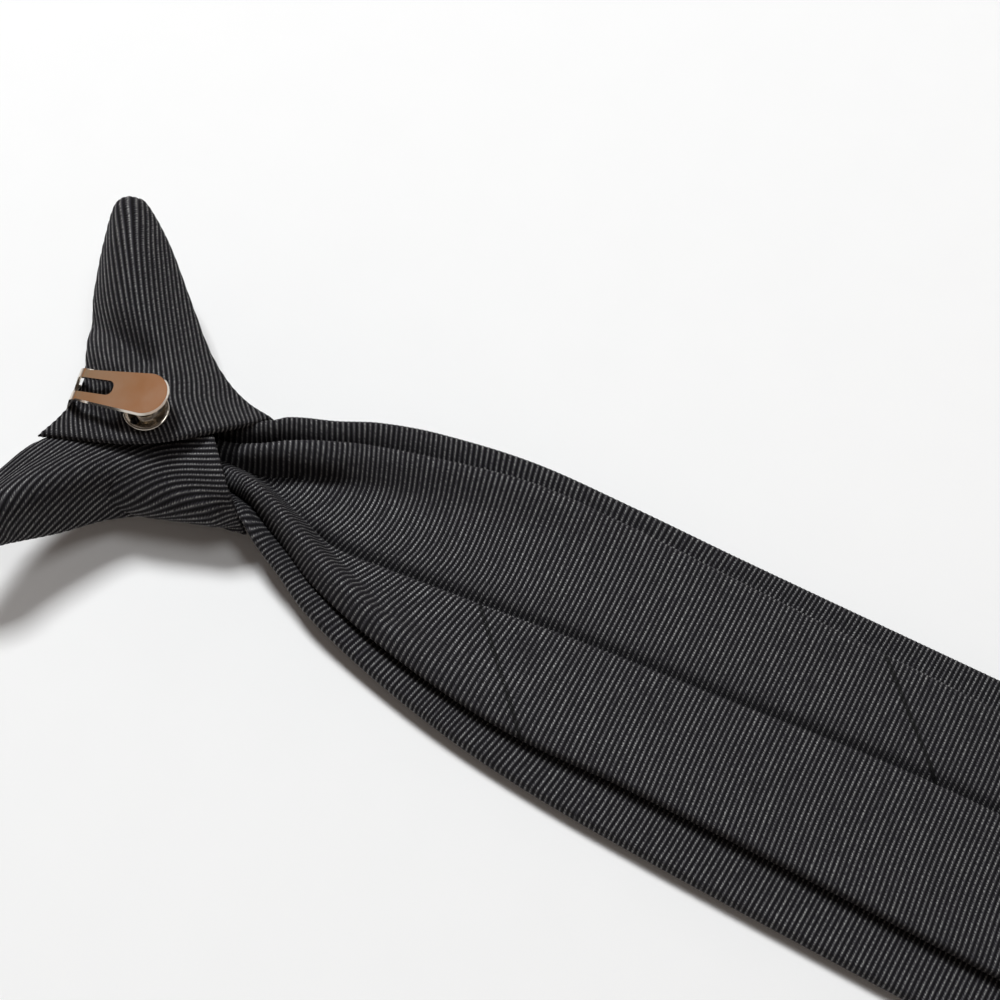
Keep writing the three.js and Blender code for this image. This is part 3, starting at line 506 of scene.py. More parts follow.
@dataclass(frozen=True)
class RibbedPolyester:
    """Ribbed polyester, woven: a fine dark rep whose rounded ribs catch the light along their crests.

    A thin grey line along each crest is a painted highlight, broken into dots by the filling threads,
    between dark flanks and grooves painted near-black as shade. The painted highlight is a little stronger
    or weaker on single ribs, in streaks, soft patches and flecks.
    """

    name: str = "ribbed polyester"
    pitch: float = RIB_PITCH
    thread: float = THREAD_PITCH
    crest: str = "#80807d"  # painted highlight: the thin line of light along a rib's crest
    flank: str = "#222026"  # a rib's sides, the cloth's own colour to the eye
    groove: str = "#030304"  # painted shade between two ribs
    relief: float = 0.07  # of a rib and its threads in the bump, mm
    thread_height: float = 0.5  # of a thread in it, as a part of the rib's
    gloss: float = 0.39  # roughness along a crest
    dull: float = 1.0  # roughness in a groove
    specular: float = 0.3
    streaks: Unevenness = Unevenness(0.12, 0.85, 3.0, 0.3, 0.7, 0.55, 1.25)  # ribs whose painted highlight and gloss are stronger or weaker
    clouds: Unevenness = Unevenness(0.03, 0.03, 2.0, 0.3, 0.7, 0.85, 1.1)  # soft patches in the painted highlight
    flecks: Unevenness = Unevenness(1.7, 0.8, 1.0, 0.35, 0.65, 0.35, 1.75)  # single threads with a stronger painted highlight
    wander: Unevenness = Unevenness(0.9, 0.9, 2.0, 0.0, 1.0, 0.0, 1.4)  # mm that the threads stray
    sway: float = 0.1  # of a rib to the side at each thread, as a part of the pitch
    crest_power: float = 8.0  # how thin the painted highlight along a crest is
    gap: float = 0.15  # of the painted highlight that is left between two of its dots
    gap_shine: float = 0.65  # of its gloss that is left there
    shine: tuple[float, float] = (0.2, 0.8)  # the shares of a crest's shine that are dull and glossy
    bridge: float = 0.35  # how much a thread lightens the groove's painted shade where it crosses
    sides: tuple[float, float] = (0.2, 0.75)  # the rib heights with the groove's painted shade and with the flank's colour
    pieced: bool = False
    seam_width: float = 0.3  # half the width of a piecing seam's dark groove, mm
    seam_depth: float = 2.0  # of that groove in the bump, in rib heights

    def make(self) -> Material:
        """Builds the material.

        Ribs are a cosine of the map's second coordinate and threads one of its first, and noise drawn
        out along the ribs varies both.

        Returns:
            The material.
        """
        material, tree, output = new_material(self.name)
        place = add_node(tree, "SeparateXYZ", [add_node(tree, "UVMap", uv_map=CLOTH_MAP).outputs[0]])
        along, over = place.outputs[0], place.outputs[1]

        def ripple(source: Socket, pitch: float) -> Socket:
            """A wave from 0 to 1.

            Args:
                source: the way that it runs.
                pitch: from one crest to the next.

            Returns:
                The output with the wave.
            """
            turned = add_node(tree, "Math", [source, 2 * math.pi / pitch], operation="MULTIPLY")
            wave = add_node(tree, "Math", [turned.outputs[0]], operation="COSINE")
            return add_node(tree, "Math", [wave.outputs[0], 0.5, 0.5], operation="MULTIPLY_ADD").outputs[0]

        def added(base: Socket, part: Socket, weight: float) -> Socket:
            """The base with a weight times the part added to it."""
            return add_node(tree, "Math", [part, weight, base], operation="MULTIPLY_ADD").outputs[0]

        def factor(uneven: Unevenness) -> Socket:
            """A factor that varies over the cloth.

            Args:
                uneven: its noise and its range.

            Returns:
                The output with the factor.
            """
            drawn_out = add_node(tree, "CombineXYZ", [
                add_node(tree, "Math", [way, scale], operation="MULTIPLY").outputs[0]
                for way, scale in ((along, uneven.along), (over, uneven.across))])
            noise = add_node(tree, "TexNoise", {"Vector": drawn_out.outputs[0], "Scale": 1.0,
                                                "Detail": uneven.detail})
            return add_node(tree, "MapRange", [noise.outputs[0], uneven.low, uneven.high, uneven.least,
                                               uneven.most]).outputs[0]

        def product(*parts: Socket) -> Socket:
            """Multiplies values together, in their order.

            Args:
                parts: the outputs with the values.

            Returns:
                The output with their product.
            """
            total = parts[0]
            for part in parts[1:]:
                total = add_node(tree, "Math", [total, part], operation="MULTIPLY").outputs[0]
            return total

        slant = added(factor(self.wander), over, self.thread / self.pitch)
        dots = ripple(add_node(tree, "Math", [along, slant]).outputs[0], self.thread)
        rib = ripple(added(over, dots, self.sway * self.pitch), self.pitch)
        crest = add_node(tree, "Math", [rib, self.crest_power], operation="POWER").outputs[0]
        broken = add_node(tree, "MapRange", [dots, 0.0, 1.0, self.gap, 1.0]).outputs[0]
        streaks = factor(self.streaks)
        # painted highlight: the crest colour laid in a thin line along each rib's crest, dotted by the
        # threads and varied by streaks, patches and flecks
        painted_highlight = product(crest, broken, streaks, factor(self.clouds), factor(self.flecks))
        # painted shade: the groove colour lies between the ribs and gives way to the flank colour up each
        # rib
        raised = add_node(tree, "MapRange", [added(rib, dots, self.bridge), *self.sides]).outputs[0]
        height = added(rib, dots, self.thread_height)
        if self.pieced:
            line = add_node(tree, "Attribute", attribute_name=PIECING, attribute_type="GEOMETRY")
            off = add_node(tree, "Math", [line.outputs["Fac"]], operation="ABSOLUTE").outputs[0]
            clear = add_node(tree, "MapRange", [off, self.seam_width, 2 * self.seam_width],
                             interpolation_type="SMOOTHSTEP").outputs[0]
            painted_highlight, raised = product(painted_highlight, clear), product(raised, clear)
            height = added(height, clear, self.seam_depth)
        sides = add_node(tree, "Mix", {0: raised, 6: linear(self.groove), 7: linear(self.flank)},
                         data_type="RGBA").outputs[2]
        # the crest's painted highlight laid over the groove's painted shade and the flank colour
        colour = add_node(tree, "Mix", {0: painted_highlight, 6: sides, 7: linear(self.crest)}, data_type="RGBA")
        bump = add_node(tree, "Bump", {"Height": height, "Strength": 1.0, "Distance": self.relief * MM})
        dotted = add_node(tree, "MapRange", [dots, 0.0, 1.0, self.gap_shine, 1.0]).outputs[0]
        rough = add_node(tree, "MapRange", [product(rib, dotted, streaks), *self.shine, self.dull,
                                            self.gloss])
        shader = add_node(tree, "BsdfPrincipled", {
            "Base Color": colour.outputs[2], "Roughness": rough.outputs[0], "Normal": bump.outputs[0],
            "Specular IOR Level": self.specular})
        tree.links.new(shader.outputs[0], output.inputs[0])
        return material


@dataclass(frozen=True)
class NickelPlate:
    """Polished nickel plate on stamped steel: mirror-bright, with the faint grain of its tumbling."""

    name: str = "polished nickel plate"
    colour: str = "#d9d2c8"
    tarnish: str = "#cfc7bb"
    roughness: float = 0.1
    wear: tuple[float, float] = (0.85, 1.3)  # the least and most of it, in soft patches
    wear_scale: float = 120.0  # of the patches, per m
    worn: tuple[float, float] = (0.3, 0.75)  # their noise where it is least and most
    tarnished: tuple[float, float] = (0.4, 0.8)  # their noise where tarnish starts and is full
    grain: float = 0.35  # between its fine scratches, mm
    grain_depth: float = 0.01  # of those, mm

    def make(self) -> Material:
        """Builds the material; noise in object coordinates varies its gloss and its surface.

        Returns:
            The material.
        """
        material, tree, output = new_material(self.name)
        place = add_node(tree, "TexCoord").outputs["Object"]
        grain = add_node(tree, "TexNoise", {"Vector": place, "Scale": 1 / (self.grain * MM), "Detail": 4.0})
        wear = add_node(tree, "TexNoise", {"Vector": place, "Scale": self.wear_scale, "Detail": 3.0})
        least, most = (part * self.roughness for part in self.wear)
        gloss = add_node(tree, "MapRange", [wear.outputs[0], *self.worn, least, most])
        dulled = add_node(tree, "MapRange", [wear.outputs[0], *self.tarnished])
        colour = add_node(tree, "Mix", {0: dulled.outputs[0], 6: linear(self.colour),
                                        7: linear(self.tarnish)}, data_type="RGBA")
        bump = add_node(tree, "Bump", {"Height": grain.outputs[0], "Strength": 0.25,
                                       "Distance": self.grain_depth * MM})
        shader = add_node(tree, "BsdfPrincipled", {
            "Base Color": colour.outputs[2], "Metallic": 1.0, "Roughness": gloss.outputs[0],
            "Normal": bump.outputs[0]})
        tree.links.new(shader.outputs[0], output.inputs[0])
        return material


def dress(piece: Object, material: Material, solids: Sequence[Solid]) -> Object:
    """Finishes a piece and tells the frame what it is.

    Args:
        piece: the object.
        material: its finish.
        solids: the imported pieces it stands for.

    Returns:
        The same object.
    """
    piece.data.materials.append(material)
    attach(piece, "root")
    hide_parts(*[solid.value for solid in solids])
    return piece


def make_cloth(name: str, ribbed: Array, chart: Array, material: Material, solid: Solid,
               closed: bool = False, piecing: Array | None = None) -> Object:
    """Makes one padded piece of cloth of a grid of closed loops.

    Args:
        name: the piece's name.
        ribbed: its points, a row per loop.
        chart: the map, in millimetres, with one more column, and one more row where it is closed.
        material: its finish.
        solid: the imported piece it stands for.
        closed: whether the last loop joins the first.
        piecing: each point's distance from a piecing seam.

    Returns:
        The dressed object.
    """
    faces, corners = loop_faces(*ribbed.shape[:2], closed)
    uv = chart.reshape(-1, 2)[corners.ravel()]
    piece = make_object(name, ribbed.reshape(-1, 3), faces, uv, piecing)
    return dress(piece, material, [solid])


@dataclass(frozen=True)
class PiecingSeam:
    """A seam where the cloth is pieced on one flap: a straight line in plan."""

    start: tuple[float, float]
    end: tuple[float, float]

    def distance(self, x: Array, y: Array) -> Array:
        """Signed distance of each point from the line."""
        way = unit(np.array(self.end) - np.array(self.start))
        return (y - self.start[1]) * way[0] - (x - self.start[0]) * way[1]


@dataclass
class Blade:
    """A folded, padded blade whose rows of points follow its ribs."""

    name: str
    solid: Solid
    table: Table
    runs: Table
    run_places: Array  # where the runs' columns are, from the near edge at 0 to the far one at 1
    end: float
    roll: float
    edge_steps: Sequence[float] = (0, 0.04, 0.15, 0.35, 0.65, 1.0, 1.5, 2.2)  # in radii of the roll
    edge_swell: float = 1.3  # a rolled edge's radius at most, in half thicknesses
    near_lines: int = 4  # columns between the rolled edges and the seam
    far_lines: int = 6
    under_lines: int = 5
    seam_steps: Sequence[float] = (-2.2, -1.2, -0.6, -0.25, -0.03, 0.12, 0.5, 1.0, 1.7, 2.6, 3.6)
    run_steps: int = 24  # stretches in which a rib is followed to each side of the middle
    groove: float = 2.3  # depth of the far flap where it dips under the near one
    groove_width: float = 2.0
    groove_start: float = 0.3  # how far beyond the seam it is deepest
    full_lap: float = 0.8  # the lap that gives it that depth
    flap_edge: float = 1.1  # radius of the near flap's folded edge
    blunt: float = 1.6  # width of the point's very end
    relief: float = 0.09  # height of the ribs
    edge_relief: float = 0.3  # part of it that is left on the rolled edges
    bare_end: float = 1.5  # the ribs fade out over this much at both ends
    turn_in: float = 10.0  # the ribs leave the neck square to the blade over this much
    fade: float = 55.0  # and turn square to it again over this much before its point
    square_end: float = 8.0  # and stay so over the last of it
    fill: float = 0.5
    folds: Sequence[Fold] = ()
    near_piecing: PiecingSeam | None = None
    far_piecing: PiecingSeam | None = None

    def width(self, place: Array) -> Array:
        """Edge to edge, or twice the way to the end where the blade comes to its right-angled point."""
        across = self.table.at("far", place) - self.table.at("near", place)
        return np.minimum(across, 2 * (self.end - place) + self.blunt)

    def seam(self, place: Array) -> Array:
        """Where the centre seam is."""
        return self.table.at("seam", place)

    def aside(self, place: Array, part: Array) -> Array:
        """Across the tie, where the blade has a part of its width behind it."""
        middle = (self.table.at("far", place) + self.table.at("near", place)) / 2
        return middle + (part - 0.5) * self.width(place)

    def height(self, row: dict[str, Array], y: Array, side: Array) -> Array:
        """Height of the middle of the cloth; each blade has its own.

        Args:
            row: the blade's sizes at each point.
            y: across the tie.
            side: across the blade, -1 at the near edge and 1 at the far one.

        Returns:
            z at each point.
        """
        raise NotImplementedError

    def middle_surface(self, place: Array, part: Array) -> Array:
        """Points in the middle of the cloth.

        Args:
            place: along the blade.
            part: across it, 0 at the near edge and 1 at the far one.

        Returns:
            x, y and z on a new last axis.
        """
        row = self.table.all_at(place)
        y = self.aside(place, part)
        side = 2 * part - 1
        return np.stack([place + row["skew"] * side, y, self.height(row, y, side)], axis=-1)

    def thickness(self, place: Array, part: Array) -> Array:
        """Half the cloth's thickness, rolled at its edges and ends.

        Args:
            place: along the blade.
            part: across it, from 0 to 1.

        Returns:
            Half the thickness at each point.
        """
        half = self.table.at("half", place)
        width = self.width(place)
        soft = np.minimum(np.minimum(self.edge_swell * half, self.roll), width / 4)
        inner = np.minimum(half, soft)
        from_edge = np.minimum(part, 1 - part) * width
        from_end = np.minimum(place - self.table.places[0], self.end - place)
        return np.minimum(rolled_half(from_edge, soft, inner), rolled_half(from_end, soft, inner))

    def across(self, place: Array, top: bool) -> Array:
        """Where the columns are.

        Close together on the two rolled edges and, on top, on both sides of the seam.

        Args:
            place: of each row along the blade.
            top: whether it is the side with the seam.

        Returns:
            A row of parts from 0 to 1 for each place.
        """
        width = self.width(place)[:, None]
        edge = np.array(self.edge_steps) * np.minimum(self.roll, width / 4) / width
        if not top:
            inner = np.linspace(edge[:, -1], 1 - edge[:, -1], self.under_lines + 2, axis=1)[:, 1:-1]
            return np.concatenate([edge, inner, 1 - edge[:, ::-1]], axis=1)
        centre = ((self.table.at("far", place) + self.table.at("near", place)) / 2)[:, None]
        seam = 0.5 + (self.seam(place)[:, None] - centre + np.array(self.seam_steps)) / width
        near = np.linspace(edge[:, -1], seam[:, 0], self.near_lines + 2, axis=1)[:, 1:-1]
        far = np.linspace(seam[:, -1], 1 - edge[:, -1], self.far_lines + 2, axis=1)[:, 1:-1]
        columns = np.concatenate([edge, near, seam, far, 1 - edge[:, ::-1]], axis=1)
        return np.sort(np.clip(columns, 0, 1), axis=1)

    def rib_places(self, base: Array, part: Array) -> Array:
        """Follows each rib across the blade.

        Its way along the blade is the sum of the runs times the steps across, from the middle.

        Args:
            base: where each rib crosses the middle.
            part: its columns from 0 to 1.

        Returns:
            The place along the blade of each point.
        """
        runs = np.stack([self.runs.at(name, base) for name in self.runs.columns], axis=1)
        half = self.run_steps
        even = np.linspace(0, 1, 2 * half + 1)
        run = between(self.run_places, runs, np.tile(even, (len(base), 1)))
        steps = (run[:, 1:] + run[:, :-1]) / 2 * (even[1] * self.width(base))[:, None]
        total = np.concatenate([np.zeros((len(base), 1)), np.cumsum(steps, axis=1)], axis=1)
        along = between(even, total - total[:, half:half + 1], part)
        along = along - self.table.at("skew", base)[:, None] * (2 * part - 1)
        start = self.table.places[0]
        keep = smooth(base, start, start + self.turn_in) * (
            1 - smooth(base, self.end - self.fade, self.end - self.square_end))
        return np.clip(base[:, None] + keep[:, None] * along, start, self.end)

    def seam_lift(self, place: Array, part: Array) -> Array:
        """Lift of the top along the seam.

        The near flap stands up by its lap with a round edge, and the far flap dips beside it.

        Args:
            place: along the blade.
            part: across it, from 0 to 1.

        Returns:
            The lift at each point.
        """
        off = self.aside(place, part) - self.seam(place)
        lap = self.table.at("lap", place)
        edge = np.clip(1 + off / self.flap_edge, 0, 1)
        near = lap * np.sqrt(1 - edge ** 2)
        far = -self.groove * np.clip(lap / self.full_lap, 0, 1) * np.clip(
            off / self.groove_start, 0, 1) * np.exp(-(off / self.groove_width) ** 2)
        share = self.thickness(place, part) / self.table.at("half", place)
        return np.where(off < 0, near, far) * np.clip(share, 0, 1)

    def side(self, base: Array, top: bool) -> tuple[Array, Array]:
        """The skin of one side, half the thickness along the normal from the cloth's middle.

        Args:
            base: where each rib crosses the blade's middle.
            top: whether it is the back, which has the seam and the folds.

        Returns:
            Its points, and its thickness at each as a share of the full one.
        """
        part = self.across(base, top)
        place = self.rib_places(base, part)
        middle = self.middle_surface(place, part)
        along = self.middle_surface(place + STEP, part) - self.middle_surface(place - STEP, part)
        over = (self.middle_surface(place, np.minimum(part + STEP, 1))
                - self.middle_surface(place, np.maximum(part - STEP, 0)))
        half = self.thickness(place, part)[..., None]
        share = np.clip(half[..., 0] / self.table.at("half", place), 0, 1)
        points = middle + (1 if top else -1) * unit(np.cross(along, over)) * half
        if top:
            creases = [fold.lift(points[..., 0], points[..., 1]) for fold in self.folds]
            points[..., 2] += self.seam_lift(place, part) + share * sum(creases, np.zeros(part.shape))
        return points, share

    def build(self, material: Material) -> Object:
        """Builds the blade.

        Args:
            material: its finish.

        Returns:
            The dressed object.
        """
        start = self.table.places[0]
        count = round((self.end - start) / (RIB_PITCH / RIB_SAMPLES)) + 1
        base = np.linspace(start, self.end, count)
        top, top_share = self.side(base, top=True)
        under, under_share = self.side(base, top=False)
        loops, share = over_and_back(top, under), over_and_back(top_share, under_share)
        phase = np.broadcast_to((base / RIB_PITCH)[:, None], loops.shape[:2])
        ends = smooth(base, start, start + self.bare_end) * (
            1 - smooth(base, self.end - self.bare_end, self.end))
        kept = self.edge_relief + (1 - self.edge_relief) * share
        ribbed = rib_relief(loops, phase, self.relief * ends[:, None] * kept)
        ribbed[..., 2] = np.maximum(ribbed[..., 2], 0)
        length = loop_length(loops)
        chart = np.stack([length, np.broadcast_to(base[:, None], length.shape)], axis=-1)
        piecing = self.piecing_distance(loops, top.shape[1], base)
        return make_cloth(self.name, ribbed, chart, material, self.solid, piecing=piecing)

    def piecing_distance(self, loops: Array, top_columns: int, base: Array) -> Array:
        """How far each point is from its own flap's piecing seam.

        Args:
            loops: the points, a row per loop, the top's columns first.
            top_columns: how many those are; the underside has no piecing seam.
            base: where each row crosses the blade's middle.

        Returns:
            The signed distance of each point.
        """
        x, y = loops[..., 0], loops[..., 1]
        off = y - self.seam(base)[:, None]
        near, far = (seam.distance(x, y) if seam else np.full(x.shape, CLEAR_OF_SEAM)
                     for seam in (self.near_piecing, self.far_piecing))
        distance = np.where(off < 0, near, far)
        distance[:, top_columns:] = CLEAR_OF_SEAM
        return distance


@dataclass
class FrontBlade(Blade):
    """The wide blade: a channel with raised edges at the neck, flat further down."""

    seam_at: float = 1.5  # the closing seam runs straight down the blade, this far past the middle
    level_from: float = 0.8  # the part of a rise from its foot to the edge where it is level again

    def height(self, row: dict[str, Array], y: Array, side: Array) -> Array:
        """The floor, lifted at each side in an S from its rise's foot.

        Args:
            row: the blade's sizes at each point.
            y: across the tie; not used here.
            side: across the blade, -1 at the near edge and 1 at the far one.

        Returns:
            z at each point.
        """
        def rise(at: Array) -> Array:
            """Lift of one side, from 0 to 1."""
            return smooth((at - row["foot"]) / (1 - row["foot"]), 0, self.level_from)

        return row["floor"] + row["near_rise"] * rise(-side) + row["far_rise"] * rise(side)

    def seam(self, place: Array) -> Array:
        """Where the closing seam is."""
        return np.full(np.shape(place), self.seam_at)


@dataclass
class TailBlade(Blade):
    """The narrow blade, which lies on the wide one."""

    def height(self, row: dict[str, Array], y: Array, side: Array) -> Array:
        """The floor, lifted to the far edge in an S, with a bell-shaped near roll.

        Args:
            row: the blade's sizes at each point.
            y: across the tie.
            side: across the blade, -1 at the near edge and 1 at the far one; not used here.

        Returns:
            z at each point.
        """
        up = smooth((y - row["valley"]) / (row["brow"] - row["valley"]), 0, 1)
        roll = np.exp(-((y - row["crest"]) / row["spread"]) ** 2)
        return row["floor"] + row["far_rise"] * up + row["crest_rise"] * roll


@dataclass
class Wing:
    """A wing and its panel, with ribs that run from its tip."""

    name: str
    solid: Solid
    table: Table
    tip_pitch: float  # of the ribs, which draw together towards the tip
    base_pitch: float
    anchor: float = 0.0  # the part across that the ribs run along, 0 at the collar edge
    shoulder_reach: float = 0.3  # width of the rounded collar edge, as a part of the whole
    folds: Sequence[Fold] = ()
    rows: int = 90
    draped_on: "KnotSleeve | None" = None
    drape: tuple[float, float] = (0.4, 0.7)  # the parts across from which it nears the sleeve and lies on it
    free_base: float = 0.94  # it leaves the sleeve again from here to its base
    clearance: float = 0.1  # between the wing and the sleeve it lies on
    relief: float = 0.09
    edge_reach: float = 1.3  # mm from both edges within which extra columns gather
    edge_most: float = 0.3  # the same as a part of the width, at most
    edge_steps: Sequence[float] = (0, 0.03, 0.1, 0.22, 0.4, 0.65, 1.0)  # in parts of that reach
    end_steps: Sequence[float] = (0, 0.1, 0.35, 0.8, 1.5)  # mm from both ends
    length: float = 70.0  # roughly, for those steps
    end_reach: float = 0.03  # the part along where the even rows start
    swell_from: float = 0.25  # the part across where the bulge starts
    fill: float = 0.4

    def surface(self, along: Array, part: Array) -> Array:
        """Middle of the cloth: cubic curves through the three columns, with the bulge, less the padding.

        Args:
            along: from the tip at 0 to the base at 1.
            part: across, a row for each of those, 0 at the collar edge.

        Returns:
            x, y and z on a new last axis.
        """
        line = []
        for axis in "xyz":
            columns = [self.table.at(f"{side}_{axis}", along) for side in ("collar", "middle", "outer")]
            line.append(between(np.array([0, 0.5, 1.0]), np.stack(columns, axis=-1), part))
        swell = np.sin(np.pi * np.clip((part - self.swell_from) / (1 - self.swell_from), 0, 1)) ** 2
        bulge = self.table.at("bulge", along)[:, None] * swell
        line[2] = line[2] + bulge - self.table.at("half", along)[:, None]
        drop = self.table.at("shoulder", along)[:, None]
        line[2] = line[2] - drop * np.clip(1 - part / self.shoulder_reach, 0, 1) ** 2
        return np.stack(line, axis=-1)

    def laid(self, along: Array, part: Array) -> Array:
        """The same surface, with its outer part moved out to the sleeve's skin, short of the wing's base.

        Args:
            along: from the tip at 0 to the base at 1.
            part: across, a row for each of those, 0 at the collar edge.

        Returns:
            x, y and z on a new last axis.
        """
        middle = self.surface(along, part)
        if self.draped_on is None:
            return middle
        off = self.draped_on.push_out(middle, self.table.at("half", along)[:, None] + self.clearance)
        weight = smooth(part, *self.drape) * (1 - smooth(along, self.free_base, 1.0))[:, None]
        return middle + (off - middle) * weight[..., None]

    def width(self, along: Array) -> Array:
        """Straight across from edge to edge."""
        ends = np.tile([0.0, 1.0], (len(along), 1))
        edges = self.surface(along, ends)
        return np.linalg.norm(edges[:, 0] - edges[:, 1], axis=1)

    def places(self) -> tuple[Array, Array, Array]:
        """Where the wing's points are.

        Columns follow the ribs, each at its own number of rib widths from the collar edge, and gather
        on the rolled edges.

        Returns:
            Each row's part along, its columns' parts across, and how many ribs lie before each point.
        """
        ends = np.array(self.end_steps) / self.length
        even = np.linspace(self.end_reach, 1 - self.end_reach, self.rows)
        along = np.concatenate([ends, even, 1 - ends[::-1]])
        width = self.width(along)[:, None]
        pitch = (self.tip_pitch + (self.base_pitch - self.tip_pitch) * along)[:, None]
        drift = self.table.at("drift", along)[:, None] - self.anchor * width
        most = ((width + drift) / pitch).max()
        least = (drift / pitch).min()
        ribs = np.arange(math.floor(least), math.ceil(most) + 1 / RIB_SAMPLES, 1 / RIB_SAMPLES)
        reach = np.minimum(self.edge_reach / width, self.edge_most)
        edge = np.array(self.edge_steps) * reach
        inner = np.clip((ribs[None, :] * pitch - drift) / width, reach, 1 - reach)
        part = np.sort(np.concatenate([edge, inner, 1 - edge[:, ::-1]], axis=1), axis=1)
        return along, part, (part * width + drift) / pitch

    def padded(self, along: Array, part: Array) -> tuple[Array, Array]:
        """The cloth's middle with its folds, and its padding.

        Args:
            along: from the tip at 0 to the base at 1.
            part: across, a row for each of those, 0 at the collar edge.

        Returns:
            The middle's points, and the step from each of them to the skin on top.
        """
        middle = self.laid(along, part)
        step = 2 * STEP
        over = self.laid(along, np.minimum(part + step, 1)) - self.laid(along, np.maximum(part - step, 0))
        forth = self.laid(np.minimum(along + step, 1), part) - self.laid(np.maximum(along - step, 0), part)
        padding = self.table.at("half", along)[:, None] * np.ones_like(part)
        from_edge = np.minimum(part, 1 - part) * self.width(along)[:, None]
        from_end = np.minimum(np.linalg.norm(middle - middle[:1], axis=2),
                              np.linalg.norm(middle - middle[-1:], axis=2))
        half = np.minimum(rolled_half(from_edge, padding, padding), rolled_half(from_end, padding, padding))
        lift = sum((fold.lift(middle[..., 0], middle[..., 1]) for fold in self.folds), np.zeros(part.shape))
        middle[..., 2] += lift * np.clip(half / padding, 0, 1)
        return middle, unit(np.cross(forth, over)) * half[..., None]

    def build(self, material: Material) -> Object:
        """Builds the wing.

        Args:
            material: its finish.

        Returns:
            The dressed object.
        """
        along, part, number = self.places()
        middle, to_skin = self.padded(along, part)
        loops = over_and_back(middle + to_skin, middle - to_skin)
        phase = over_and_back(number, number)
        ribbed = rib_relief(loops, phase, np.full(phase.shape, self.relief))
        ribbed[0], ribbed[-1] = loops[0], loops[-1]
        length = np.cumsum(np.linalg.norm(np.diff(middle[:, part.shape[1] // 2], axis=0), axis=1))
        length = np.concatenate([[0], length])[:, None]
        phase = np.concatenate([phase, phase[:, :1]], axis=1)
        chart = np.stack([np.broadcast_to(length, phase.shape), phase * RIB_PITCH], axis=-1)
        return make_cloth(self.name, ribbed, chart, material, self.solid)


